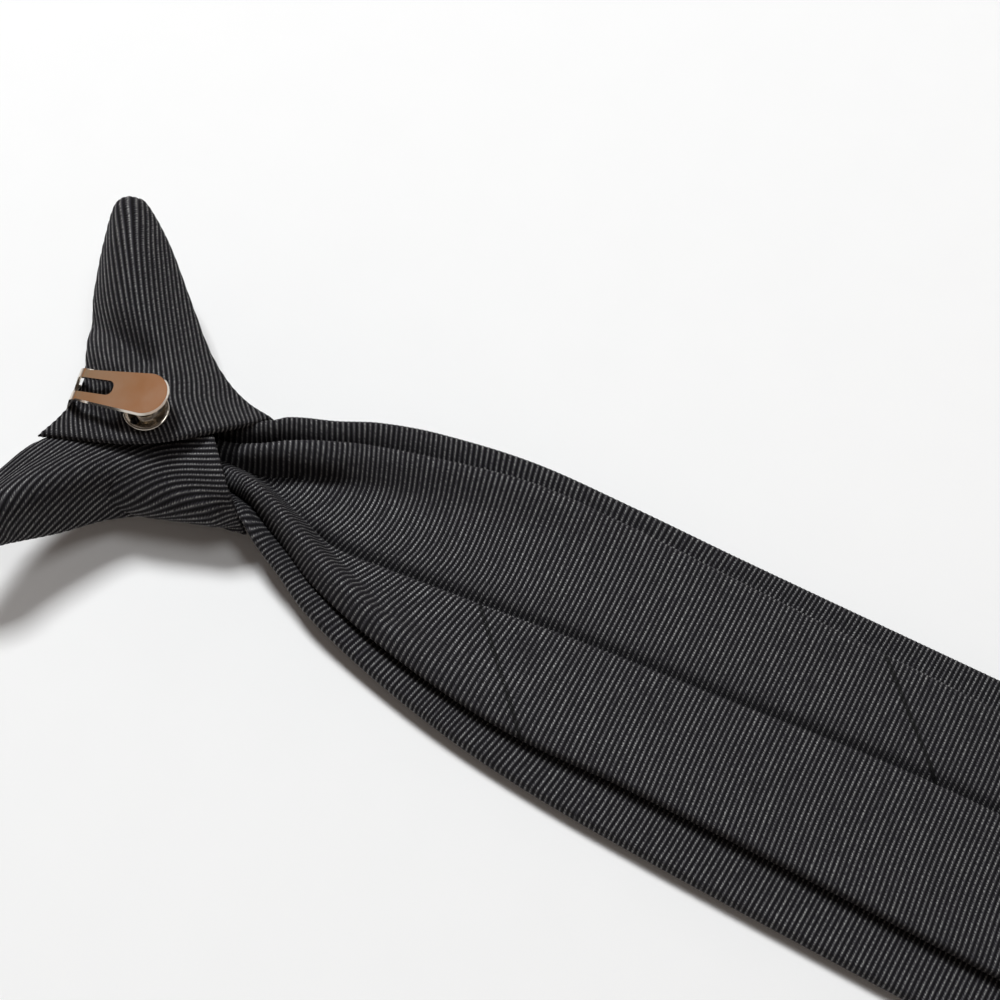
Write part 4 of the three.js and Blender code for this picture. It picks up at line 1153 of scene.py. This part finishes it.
@dataclass
class KnotSleeve:
    """The knot's sleeve: a hollow of one wall, folded in at both ends."""

    table: Table
    name: str = "knot_sleeve"
    rows: int = 44  # on the outside
    inner_rows: int = 14
    lip_rows: int = 5  # round each end's lip
    relief: float = 0.09
    fill: float = 0.5
    push_limit: float = 0.3  # a point moves out to at most its distance from the middle over this
    cut_angles: Sequence[float] = (0, 30, 45, 60, 70, 80, 90, 100, 110, 130, 150, 165, 180, 270, 360)
    cuts: Sequence[float] = (  # how far the rim draws back at those angles, mm
        3.0, 11.0, 14.5, 15.5, 15.2, 13.8, 12.0, 10.5, 9.5, 8.0, 6.5, 5.5, 5.0, 4.0, 3.0)

    def section(self, along: Array) -> tuple[dict[str, Array], list[Array], list[Array], Array]:
        """The sleeve's section at some places.

        Args:
            along: 0 at the collar edge, 1 at the neck.

        Returns:
            Its sizes, the middle of its widest line, that line's direction, and its half length.
        """
        row = self.table.all_at(along)
        centre = [(row[f"near_{axis}"] + row[f"far_{axis}"]) / 2 for axis in "xy"]
        across = [row[f"far_{axis}"] - row[f"near_{axis}"] for axis in "xy"]
        widest = np.hypot(*across)
        return row, centre, [value / widest for value in across], widest / 2

    def rings(self, along: Array, angle: Array, inset: Array) -> Array:
        """Rings of the sleeve.

        Each is a superellipse between the near and far ends of its widest line, drawn back along the
        sleeve by its share of the cut at each angle.

        Args:
            along: 0 at the collar edge, 1 at the neck, one per ring.
            angle: one per point round the ring.
            inset: how far inside the skin each ring lies.

        Returns:
            Points, a row per ring.
        """
        row, centre, across, half_width = self.section(along[:, None])
        inset = inset[:, None]
        half_width = half_width - inset
        half_height = (row["top"] - row["bottom"]) / 2 - inset

        def bend(value: Array) -> Array:
            """A sine or cosine raised to two parts of the section's power, with its sign kept."""
            return np.sign(value) * np.abs(value) ** (2 / row["power"])

        side, rise = bend(np.cos(angle)[None, :]), bend(np.sin(angle)[None, :])
        cut = np.interp(np.degrees(angle) % 360, self.cut_angles, self.cuts)[None, :]
        forward = -row["notch"] * cut
        x = centre[0] + across[0] * side * half_width + across[1] * forward
        y = centre[1] + across[1] * side * half_width - across[0] * forward
        z = np.maximum((row["top"] + row["bottom"]) / 2 + half_height * rise, 0)
        return np.stack([x, y, z], axis=-1)

    def push_out(self, points: Array, clear: Array) -> Array:
        """Moves points that lie within the sleeve out to its skin.

        A point's place along the sleeve comes from its way along the axis between the two end rings. In
        that ring's section, its two offsets are divided by the half axes; where the sum of their powers
        is less than one they are scaled up until it is one.

        Args:
            points: x, y and z on the last axis.
            clear: how far outside the skin each should stay.

        Returns:
            The moved points.
        """
        middle = np.stack(self.section(np.array([0.0, 1.0]))[1], axis=1)
        axis = middle[1] - middle[0]
        along = np.clip((points[..., :2] - middle[0]) @ axis / (axis @ axis), 0, 1)
        row, centre, across, half_width = self.section(along)
        half_width, half_height = half_width + clear, (row["top"] - row["bottom"]) / 2 + clear
        off = (points[..., 0] - centre[0]) * across[0] + (points[..., 1] - centre[1]) * across[1]
        rise = points[..., 2] - (row["top"] + row["bottom"]) / 2
        power = row["power"]
        inside = (np.abs(off / half_width) ** power + np.abs(rise / half_height) ** power) ** (1 / power)
        grow = 1 / np.clip(inside, self.push_limit, 1)
        shift = off * (grow - 1)
        return np.stack([points[..., 0] + across[0] * shift, points[..., 1] + across[1] * shift,
                         points[..., 2] + rise * (grow - 1)], axis=-1)

    def rib_angles(self) -> tuple[Array, Array, int]:
        """Where the columns are, along the ribs, of which a whole number fits round the sleeve's middle.

        Returns:
            How many ribs lie before each column, its angle, and how many ribs there are.
        """
        even = np.radians(np.linspace(0, 360, 721))
        ring = self.rings(np.array([0.5]), even, np.zeros(1))[0]
        length = np.concatenate([[0], np.cumsum(np.linalg.norm(np.diff(ring, axis=0), axis=1))])
        count = round(length[-1] / RIB_PITCH)
        ribs = np.arange(count * RIB_SAMPLES) / RIB_SAMPLES
        return ribs, np.interp(ribs / count * length[-1], length, even), count

    def skin(self, angle: Array) -> tuple[Array, Array]:
        """The smooth skin, closed: along the outside, round the neck's lip, back inside, round the rim's.

        Args:
            angle: one per column.

        Returns:
            Its loops, and for each 1 outside and 0 inside.
        """
        wall = self.table.at("wall", np.array([0.0, 1.0]))
        turn = np.linspace(0, np.pi, self.lip_rows + 2)[1:-1]
        lip, run = (1 - np.cos(turn)) / 2, np.sin(turn)
        outside = np.linspace(0, 1, self.rows)
        inside = np.linspace(1, 0, self.inner_rows)
        along = np.concatenate([outside, np.ones(self.lip_rows), inside, np.zeros(self.lip_rows)])
        inset = np.concatenate([np.zeros(self.rows), wall[1] * lip,
                                self.table.at("wall", inside), wall[0] * lip[::-1]])
        bulge = np.concatenate([np.zeros(self.rows), wall[1] / 2 * run,
                                np.zeros(self.inner_rows), -wall[0] / 2 * run])
        loops = self.rings(along, angle, inset)
        axis = unit(loops[self.rows - 1].mean(axis=0) - loops[0].mean(axis=0))
        loops = loops + axis * bulge[:, None, None]
        loops[..., 2] = np.maximum(loops[..., 2], 0)
        return loops, (inset < 0.5 * wall.min()).astype(float)

    def build(self, material: Material) -> Object:
        """Builds the sleeve.

        Args:
            material: its finish.

        Returns:
            The dressed object.
        """
        ribs, angle, count = self.rib_angles()
        loops, outer = self.skin(angle)
        phase = np.broadcast_to(ribs, loops.shape[:2])
        ribbed = rib_relief(loops, phase, self.relief * outer[:, None] * np.ones(phase.shape))
        ribbed[..., 2] = np.maximum(ribbed[..., 2], 0)
        ways = np.linalg.norm(np.diff(loops[:, 0], axis=0, append=loops[:1, 0]), axis=1)
        way = np.concatenate([[0], np.cumsum(ways)])[:, None]
        number = np.concatenate([ribs, [count]])[None, :]
        chart = np.stack(np.broadcast_arrays(way, number * RIB_PITCH), axis=-1)
        return make_cloth(self.name, ribbed, chart, material, Solid.KNOT, closed=True)


@dataclass
class CollarClip:
    """The spring clip: one stamped strip with a slotted plate, a leg, a tongue and a grip disc."""

    bend: tuple[float, float, float] = (-44.2, -4.6, 25.9)  # the corner of the plate and the leg
    yaw: float = 13.5  # of the whole clip, degrees
    plate_length: float = 23.4
    plate_rise: float = 4.6  # of its end above the bend
    bend_width: float = 8.4
    end_width: float = 11.2
    strip: float = 0.75  # the metal's thickness
    bend_radius: float = 1.3
    leg_out: float = 3.4  # how far the leg leans out under the bend
    leg_down: float = 10.5
    slot_length: float = 9.6  # from the bend to its end in the plate
    slot_width: float = 3.8
    slot_down: float = 6.0  # from the bend to its end in the leg
    slot_corner: float = 1.5
    slot_most: float = 0.6  # of the strip's width
    tongue_end: float = 20.5  # past the bend, under the plate
    grip_at: float = 17.8  # the grip's axis past the bend
    grip_aside: float = -1.9  # and to the plate's side
    grip_radius: float = 5.4
    grip_base: float = 23.3  # its underside above the floor
    grip_edge: float = 0.08
    post_radius: float = 1.7
    notches: int = 3
    notch_radius: float = 1.0
    notch_reach: float = 3.6  # from the grip's axis to theirs
    notch_turn: float = math.pi / 3  # from one to the next
    edge: float = 0.28  # rounding of the stamped edges
    rim: float = 0.35  # width of the plate's edge that is turned down
    rim_drop: float = 0.6
    arm_columns: Sequence[float] = (0, 0.4, 0.75, 1.0)  # from the rim's inner side at 0 to the slot at 1
    slot_columns: Sequence[float] = (-0.33, 0.33)  # between the slot's sides at -1 and 1

    @property
    def end_half(self) -> float:
        """Radius of the plate's round end."""
        return self.end_width / 2

    @property
    def end_middle(self) -> float:
        """Centre of the plate's round end, past the bend."""
        return self.plate_length - self.end_half

    def placed(self, points: Array) -> Array:
        """Turns points by the clip's yaw and moves them to its bend.

        Args:
            points: in the clip's own frame, x along the plate from the bend.

        Returns:
            The same points from the middle of the tie's neck.
        """
        turn = math.radians(self.yaw)
        x = points[..., 0] * math.cos(turn) - points[..., 1] * math.sin(turn)
        y = points[..., 0] * math.sin(turn) + points[..., 1] * math.cos(turn)
        return np.stack([x, y, points[..., 2]], axis=-1) + np.array(self.bend)

    def side_path(self) -> Array:
        """The strip's outer side from the plate's end round both bends to the tongue's end.

        Points are close together on the plate's round end, the slot's corners and the bends.

        Returns:
            x and z of each point in the clip's own frame.
        """
        slope = self.plate_rise / self.plate_length
        turn = np.linspace(0, np.pi / 2, 14)
        corner = np.linspace(np.pi / 2, 0, 7)
        slot_end = self.slot_length - self.slot_corner
        plate = np.concatenate([
            self.plate_length - self.end_half * (1 - np.cos(turn)),
            np.linspace(self.end_middle, self.slot_length, 8)[1:-1],
            slot_end + self.slot_corner * np.sin(corner),
            np.linspace(slot_end, self.bend_radius, 6)[1:-1]])
        path = [np.stack([plate, plate * slope], axis=1)]
        foot = np.array([-self.leg_out, -self.leg_down])
        down = foot / np.linalg.norm(foot)
        back = np.array([1, slope]) / math.hypot(1, slope)
        part = np.linspace(0, 1, 8)[:, None]

        def curve(a: Array, b: Array, c: Array) -> Array:
            """A bend from a to c round the corner b: the quadratic whose ends point at the corner."""
            return (1 - part) ** 2 * a + 2 * part * (1 - part) * b + part ** 2 * c

        path.append(curve(back * self.bend_radius, np.zeros(2), down * self.bend_radius))
        slot_foot = down * (self.slot_down / self.leg_down * np.linalg.norm(foot))
        path.append(np.linspace(down * self.bend_radius, slot_foot, 5)[1:])
        low = foot - down * self.bend_radius
        path.append(np.linspace(slot_foot, low, 4)[1:-1])
        path.append(curve(low, foot, foot + np.array([self.bend_radius, 0])))
        path.append(np.stack([np.linspace(-self.leg_out + self.bend_radius, self.tongue_end, 12)[1:],
                              np.full(11, -self.leg_down)], axis=1))
        return np.concatenate(path)

    def half_widths(self, path: Array) -> tuple[Array, Array, Array]:
        """Outline and slot of the strip.

        Args:
            path: the side path's points.

        Returns:
            Half the strip's width, half the slot's, and whether the slot is open after each point.
        """
        x, z = path[:, 0], path[:, 1]
        swell = np.interp(x, [1, self.end_middle], [self.bend_width / 2, self.end_half])
        past = np.maximum(x - self.end_middle, 0)
        half = np.where(past > 0, np.sqrt(np.maximum(self.end_half ** 2 - past ** 2, 0)), swell)
        corner = self.slot_corner
        start = self.slot_length - corner
        straight = self.slot_width / 2
        bite = np.clip((x - start) / corner, 0, 1)
        slot = np.where(x > start, straight - corner + corner * np.sqrt(1 - bite ** 2), straight)
        above_tongue = z > -self.leg_down + self.strip
        beyond = x > self.slot_length + TINY
        within = ~beyond & (z >= -self.slot_down - TINY)
        slot = np.where(above_tongue & beyond, np.minimum(straight - corner, half), slot)
        slot = np.minimum(slot, half * self.slot_most)
        return half, slot, within[:-1] & within[1:]

    def rim_lowering(self, path: Array, half: Array, columns: Array) -> Array:
        """How far the plate's edge is turned down.

        The drop falls in an S from the outline to the rim's width inside it, where the outline is the
        strip's side, or the circle of its round end. It starts a little way from the bend.

        Args:
            path: the side path's points.
            half: half the strip's width at each.
            columns: how far aside each point of the grid is.

        Returns:
            The drop at each point of the grid.
        """
        past = (path[:, 0] - self.end_middle)[:, None]
        round_end = self.end_half - np.hypot(past, columns)
        inside = np.where(past > 0, round_end, half[:, None] - np.abs(columns))
        plate = smooth(path[:, 0], self.bend_radius, 3 * self.bend_radius) * (path[:, 1] > 0)
        return self.rim_drop * plate[:, None] * (1 - smooth(inside, 0, self.rim))

    def make_strip(self) -> Object:
        """The strip: a grid along the side path, open at the slot, given its wall and rounded edges.

        Each arm has a column on the strip's edge and one inside the rim, which follows the plate's
        round end on a circle of its own, and the others spread from there to the slot.

        Returns:
            The object.
        """
        path = self.side_path()
        half, slot, is_open = self.half_widths(path)
        past = np.maximum(path[:, 0] - self.end_middle, 0)
        circle = np.sqrt(np.maximum((self.end_half - self.rim) ** 2 - past ** 2, 0))
        flat = np.where(past > 0, circle, half - self.rim)
        turned = np.clip((half - flat) / np.maximum(half - slot, MM), 0, 0.95)[:, None]
        arm = np.concatenate([np.zeros(turned.shape), turned + (1 - turned) * self.arm_columns], axis=1)
        left = -half[:, None] + (half - slot)[:, None] * arm
        middle = slot[:, None] * self.slot_columns
        columns = np.concatenate([left, middle, -left[:, ::-1]], axis=1)
        rows, count = columns.shape
        points = np.stack([np.broadcast_to(path[:, :1], columns.shape), columns,
                           path[:, 1:] - self.rim_lowering(path, half, columns)], axis=-1)
        i, j = np.meshgrid(np.arange(rows - 1), np.arange(count - 1), indexing="ij")
        inner = arm.shape[1] - 1
        hole = is_open[i] & (j >= inner) & (j < count - 1 - inner)
        i, j = i[~hole], j[~hole]
        faces = np.stack([(i + a) * count + j + b for a, b in CORNERS], axis=1)
        strip = make_object("clip_strip", self.placed(points).reshape(-1, 3), faces)
        if strip.data.polygons[0].normal.z < 0:
            strip.data.flip_normals()
        wall = strip.modifiers.new("wall", "SOLIDIFY")
        wall.thickness = self.strip * MM
        wall.offset = -1
        wall.use_even_offset = True
        round_edges(strip, self.edge, segments=3, angle=40)
        return strip

    def turned(self, name: str, profile: Rows, base: float, sides: int = 64) -> Object:
        """Turns a profile of radii and heights round the grip's axis.

        Args:
            name: the piece's name.
            profile: from the axis below to the axis on top.
            base: the height of the profile's zero, above the bend.
            sides: points round it.

        Returns:
            The object.
        """
        radius, height = np.array(profile, float).T
        angle = np.linspace(0, 2 * np.pi, sides, endpoint=False)
        points = np.stack([self.grip_at + radius[:, None] * np.cos(angle),
                           self.grip_aside + radius[:, None] * np.sin(angle),
                           np.broadcast_to(base + height[:, None], (len(radius), sides))], axis=-1)
        faces, _ = loop_faces(len(radius), sides)
        return make_object(name, self.placed(points).reshape(-1, 3), faces)

    def make_grip(self) -> Object:
        """The grip disc: a shallow cup with a boss and notches, and the post that carries it.

        Returns:
            The object.
        """
        r, base = self.grip_radius, self.grip_base - self.bend[2]
        foot = -self.leg_down + self.strip / 4
        cup = self.turned("clip_grip", [
            (0, foot - base), (self.post_radius, foot - base), (self.post_radius, 0),  # the post
            (r - 0.7, 0), (r - 0.35, 0.1), (r - 0.1, 0.35), (r, 0.7), (r, 1.5),  # up the cup's outside
            (r - 0.05, 1.62), (r - 0.16, 1.7), (r - 0.42, 1.7), (r - 0.53, 1.65),  # over its rim
            (r - 0.6, 1.55), (r - 0.72, 1.05), (r - 0.85, 0.87), (r - 1.1, 0.8),  # down to its floor
            (2.75, 0.8), (2.55, 0.86), (2.4, 1.0), (2.2, 1.2), (2.05, 1.28), (1.8, 1.3),  # up the boss
            (0.9, 1.3), (0, 1.3)], base)
        width = self.notch_radius
        for k in range(self.notches):
            around = math.pi + (k - (self.notches - 1) // 2) * self.notch_turn
            notch = self.turned("notch", [(0, -1), (width, -1), (width, 3), (0, 3)], base, sides=24)
            aside = self.notch_reach * np.array([[math.cos(around), math.sin(around), 0.0]])
            shift = (self.placed(aside) - self.placed(np.zeros((1, 3))))[0]
            notch.data.transform(Matrix.Translation(Vector(shift * MM)))
            cut = cup.modifiers.new("cut", "BOOLEAN")
            cut.operation = "DIFFERENCE"
            cut.object = notch
            shape = bpy.data.meshes.new_from_object(evaluated(cup))
            cup.modifiers.clear()
            cup.data = shape
            bpy.data.objects.remove(notch, do_unlink=True)
        round_edges(cup, self.grip_edge, segments=2, angle=50)
        return cup

    def build(self, material: Material) -> list[Object]:
        """Builds the clip.

        Args:
            material: its finish.

        Returns:
            The dressed objects.
        """
        pieces = [self.make_strip(), self.make_grip()]
        return [dress(piece, material, [Solid.CLIP]) for piece in pieces]


@dataclass(frozen=True)
class Studio:
    """The floor, the soft light and the viewpoint."""

    azimuth: float = 28.0  # of the view, degrees
    elevation: float = 66.0
    distance: float = 466.5  # mm
    looks_at: tuple[float, float, float] = (51.60, 25.67, 0.0)
    lens: float = 69.7
    floor: str = "#f7f7f6"
    floor_clouds: str = "#f5f5f4"
    floor_half: float = 4.0  # half its side, m
    floor_gap: float = 0.15  # below the tie, mm
    walls: float = 0.6  # brightness all round, up to a low height, which the nickel's edges mirror
    ceiling: float = 0.08
    wall_top: tuple[float, float] = (0.2, 0.5)  # upward parts of the way there from walls to ceiling
    wall_colour: str = "#fff0e6"
    light_distance: float = 3.0  # of both softboxes, m
    light_colour: tuple[float, float, float] = (0.96, 0.98, 1.0)
    key_way: tuple[float, float, float] = (-0.47, 0.40, 0.79)
    key_size: float = 0.65
    key_power: float = 86.0
    top_way: tuple[float, float, float] = (0.12, 0.3, 0.945)
    top_size: tuple[float, float] = (1.3, 0.65)
    top_power: float = 15.0
    # a glowing card that only the clip's plate sees, mirrored as its warm painted reflection
    card: str = "#b0713c"
    card_patches: str = "#a08a74"
    card_glow: float = 0.95
    card_half: float = 0.11  # half its side, m
    card_from: tuple[float, float, float] = (-35.0, 0.0, 28.0)  # on the clip's plate
    card_way: tuple[float, float, float] = (-0.6818, 0.2383, 0.6897)  # what the plate mirrors
    card_distance: float = 420.0  # mm

    def make_camera(self) -> None:
        """The camera, turned about the place it looks at."""
        a, e = math.radians(self.azimuth), math.radians(self.elevation)
        way = np.array([-math.sin(a) * math.cos(e), math.cos(a) * math.cos(e), -math.sin(e)])
        target = np.array(self.looks_at) * MM + neck_origin()
        data = bpy.data.cameras.new("camera")
        data.lens = self.lens
        data.sensor_width = 36.0
        data.clip_start = 0.01
        camera = bpy.data.objects.new("camera", data)
        camera.location = target - way * self.distance * MM
        camera.rotation_euler = Vector(way).to_track_quat("-Z", "Y").to_euler()
        bpy.context.scene.collection.objects.link(camera)
        bpy.context.scene.camera = camera

    def make_floor(self) -> None:
        """A plain pale floor of matt lacquer, just under the tie."""
        material, tree, output = new_material("matt white lacquer")
        place = add_node(tree, "TexCoord").outputs["Object"]
        grain = add_node(tree, "TexNoise", {"Vector": place, "Scale": 60.0})
        tone = add_node(tree, "Mix", {0: grain.outputs[0], 6: linear(self.floor),
                                      7: linear(self.floor_clouds)}, data_type="RGBA")
        shader = add_node(tree, "BsdfPrincipled", {"Base Color": tone.outputs[2], "Roughness": 0.85,
                                                   "Specular IOR Level": 0.2})
        tree.links.new(shader.outputs[0], output.inputs[0])
        self.add_plane("floor", self.floor_half, (0, 0, -self.floor_gap * MM), material)

    def make_card(self) -> None:
        """A warm glowing card to the left, unevenly bright, which lights nothing and casts no shadow: only
        the clip's plate mirrors it, as a painted reflection.
        """
        material, tree, output = new_material("warm card")
        place = add_node(tree, "TexCoord").outputs["Object"]
        drift = add_node(tree, "TexNoise", {"Vector": place, "Scale": 14.0, "Detail": 0.0})
        part = add_node(tree, "MapRange", [drift.outputs[0], 0.35, 0.65]).outputs[0]
        tone = add_node(tree, "Mix", {0: part, 6: linear(self.card), 7: linear(self.card_patches)},
                        data_type="RGBA")
        glow = add_node(tree, "Emission", {"Color": tone.outputs[2], "Strength": self.card_glow})
        tree.links.new(glow.outputs[0], output.inputs[0])
        way = np.array(self.card_way)
        middle = np.array(self.card_from) + self.card_distance * way
        card = self.add_plane("warm_card", self.card_half, middle * MM + neck_origin(), material)
        card.rotation_euler = Vector(-way).to_track_quat("Z", "Y").to_euler()
        card.visible_shadow = False
        card.visible_diffuse = False

    def add_plane(self, name: str, half: float, place: Sequence[float], material: Material) -> Object:
        """Adds a square to the stage, level until it is turned.

        Args:
            name: its name.
            half: half its side, in metres.
            place: where its middle is, in metres.
            material: its finish.

        Returns:
            The object.
        """
        mesh = bpy.data.meshes.new(name)
        mesh.from_pydata([(-half, -half, 0), (half, -half, 0), (half, half, 0), (-half, half, 0)],
                         [], [(0, 1, 2, 3)])
        mesh.materials.append(material)
        plane = bpy.data.objects.new(name, mesh)
        plane.location = place
        bpy.context.scene.collection.objects.link(plane)
        return plane

    def make_light(self) -> None:
        """A soft key from the upper left and behind, a softbox overhead, and pale walls all round."""
        world = bpy.data.worlds.new("studio")
        bpy.context.scene.world = world
        world.use_nodes = True
        tree = world.node_tree
        tree.nodes.clear()
        up = add_node(tree, "SeparateXYZ", [add_node(tree, "TexCoord").outputs["Generated"]]).outputs[2]
        level = add_node(tree, "MapRange", [up, *self.wall_top, self.walls, self.ceiling])
        glow = add_node(tree, "Background", {"Color": linear(self.wall_colour),
                                             "Strength": level.outputs[0]})
        add_node(tree, "OutputWorld", [glow.outputs[0]])
        self.add_softbox("key", self.key_way, (self.key_size, self.key_size), self.key_power)
        self.add_softbox("top", self.top_way, self.top_size, self.top_power)
        bpy.context.scene.view_settings.view_transform = "Standard"

    def add_softbox(self, name: str, way: Sequence[float], size: Sequence[float], power: float) -> None:
        """A soft rectangular light.

        Args:
            name: its name.
            way: where it stands, seen from the neck.
            size: its width and height in metres.
            power: in watts.
        """
        data = bpy.data.lights.new(name, "AREA")
        data.shape = "RECTANGLE"
        data.size, data.size_y = size
        data.energy = power
        data.color = self.light_colour
        light = bpy.data.objects.new(name, data)
        toward = Vector(way).normalized()
        light.location = toward * self.light_distance + Vector(neck_origin())
        light.rotation_euler = toward.to_track_quat("Z", "Y").to_euler()
        bpy.context.scene.collection.objects.link(light)

    def build(self) -> None:
        """Builds the whole stage."""
        self.make_camera()
        self.make_floor()
        self.make_card()
        self.make_light()


def main() -> None:
    """Builds the stage and the tie's pieces in order, and reports each."""
    logging.basicConfig(level=logging.INFO, format="%(name)s: %(message)s")
    Studio().build()
    cloth = RibbedPolyester().make()
    pieced_cloth = RibbedPolyester(name="ribbed polyester, pieced", pieced=True).make()
    nickel = NickelPlate().make()
    front = FrontBlade(
        "front_blade_cloth", Solid.FRONT, FRONT_SIZES, FRONT_RUNS, np.array([0, 0.1, 0.5, 0.9, 1.0]),
        FRONT_END, roll=2.3, near_lines=2, far_lines=2, under_lines=4, groove=0.5)
    tail = TailBlade(
        "tail_blade_cloth", Solid.TAIL, TAIL_SIZES, TAIL_RUNS,
        np.array([0, 0.12, 0.28, 0.42, 0.62, 0.85, 1.0]), TAIL_END, roll=1.9, near_lines=10,
        folds=(Fold((19.0, -5.4), (46.0, -16.0), height=-1.2, width=1.3),),
        near_piecing=PiecingSeam((61.6, -3.0), (84.5, -26.7)),
        far_piecing=PiecingSeam((149.0, 30.0), (171.2, 7.9)))
    sleeve = KnotSleeve(SLEEVE_SIZES)
    lower = Wing("lower_wing_cloth", Solid.KNOT, LOWER_WING_SIZES, tip_pitch=0.85, base_pitch=1.15,
                 draped_on=sleeve)
    upper = Wing("upper_wing_cloth", Solid.UPPER_WING, UPPER_WING_SIZES, tip_pitch=0.8, base_pitch=1.1,
                 anchor=0.5, shoulder_reach=0.4,
                 folds=(Fold((-54.5, 16.5), (-35.0, 9.5), height=-3.8, width=2.9),
                        Fold((-51.0, 7.5), (-40.0, 4.0), height=2.0, width=3.4),
                        Fold((-41.6, -7.2), (-30.5, -7.8), height=-1.1, width=1.6)))
    pieces = [front.build(cloth), tail.build(pieced_cloth), sleeve.build(cloth), lower.build(cloth),
              upper.build(cloth), *CollarClip().build(nickel)]
    for piece in pieces:
        LOG.info("%s: %d faces", piece.name, len(evaluated(piece).data.polygons))


if __name__ == "__main__":
    main()
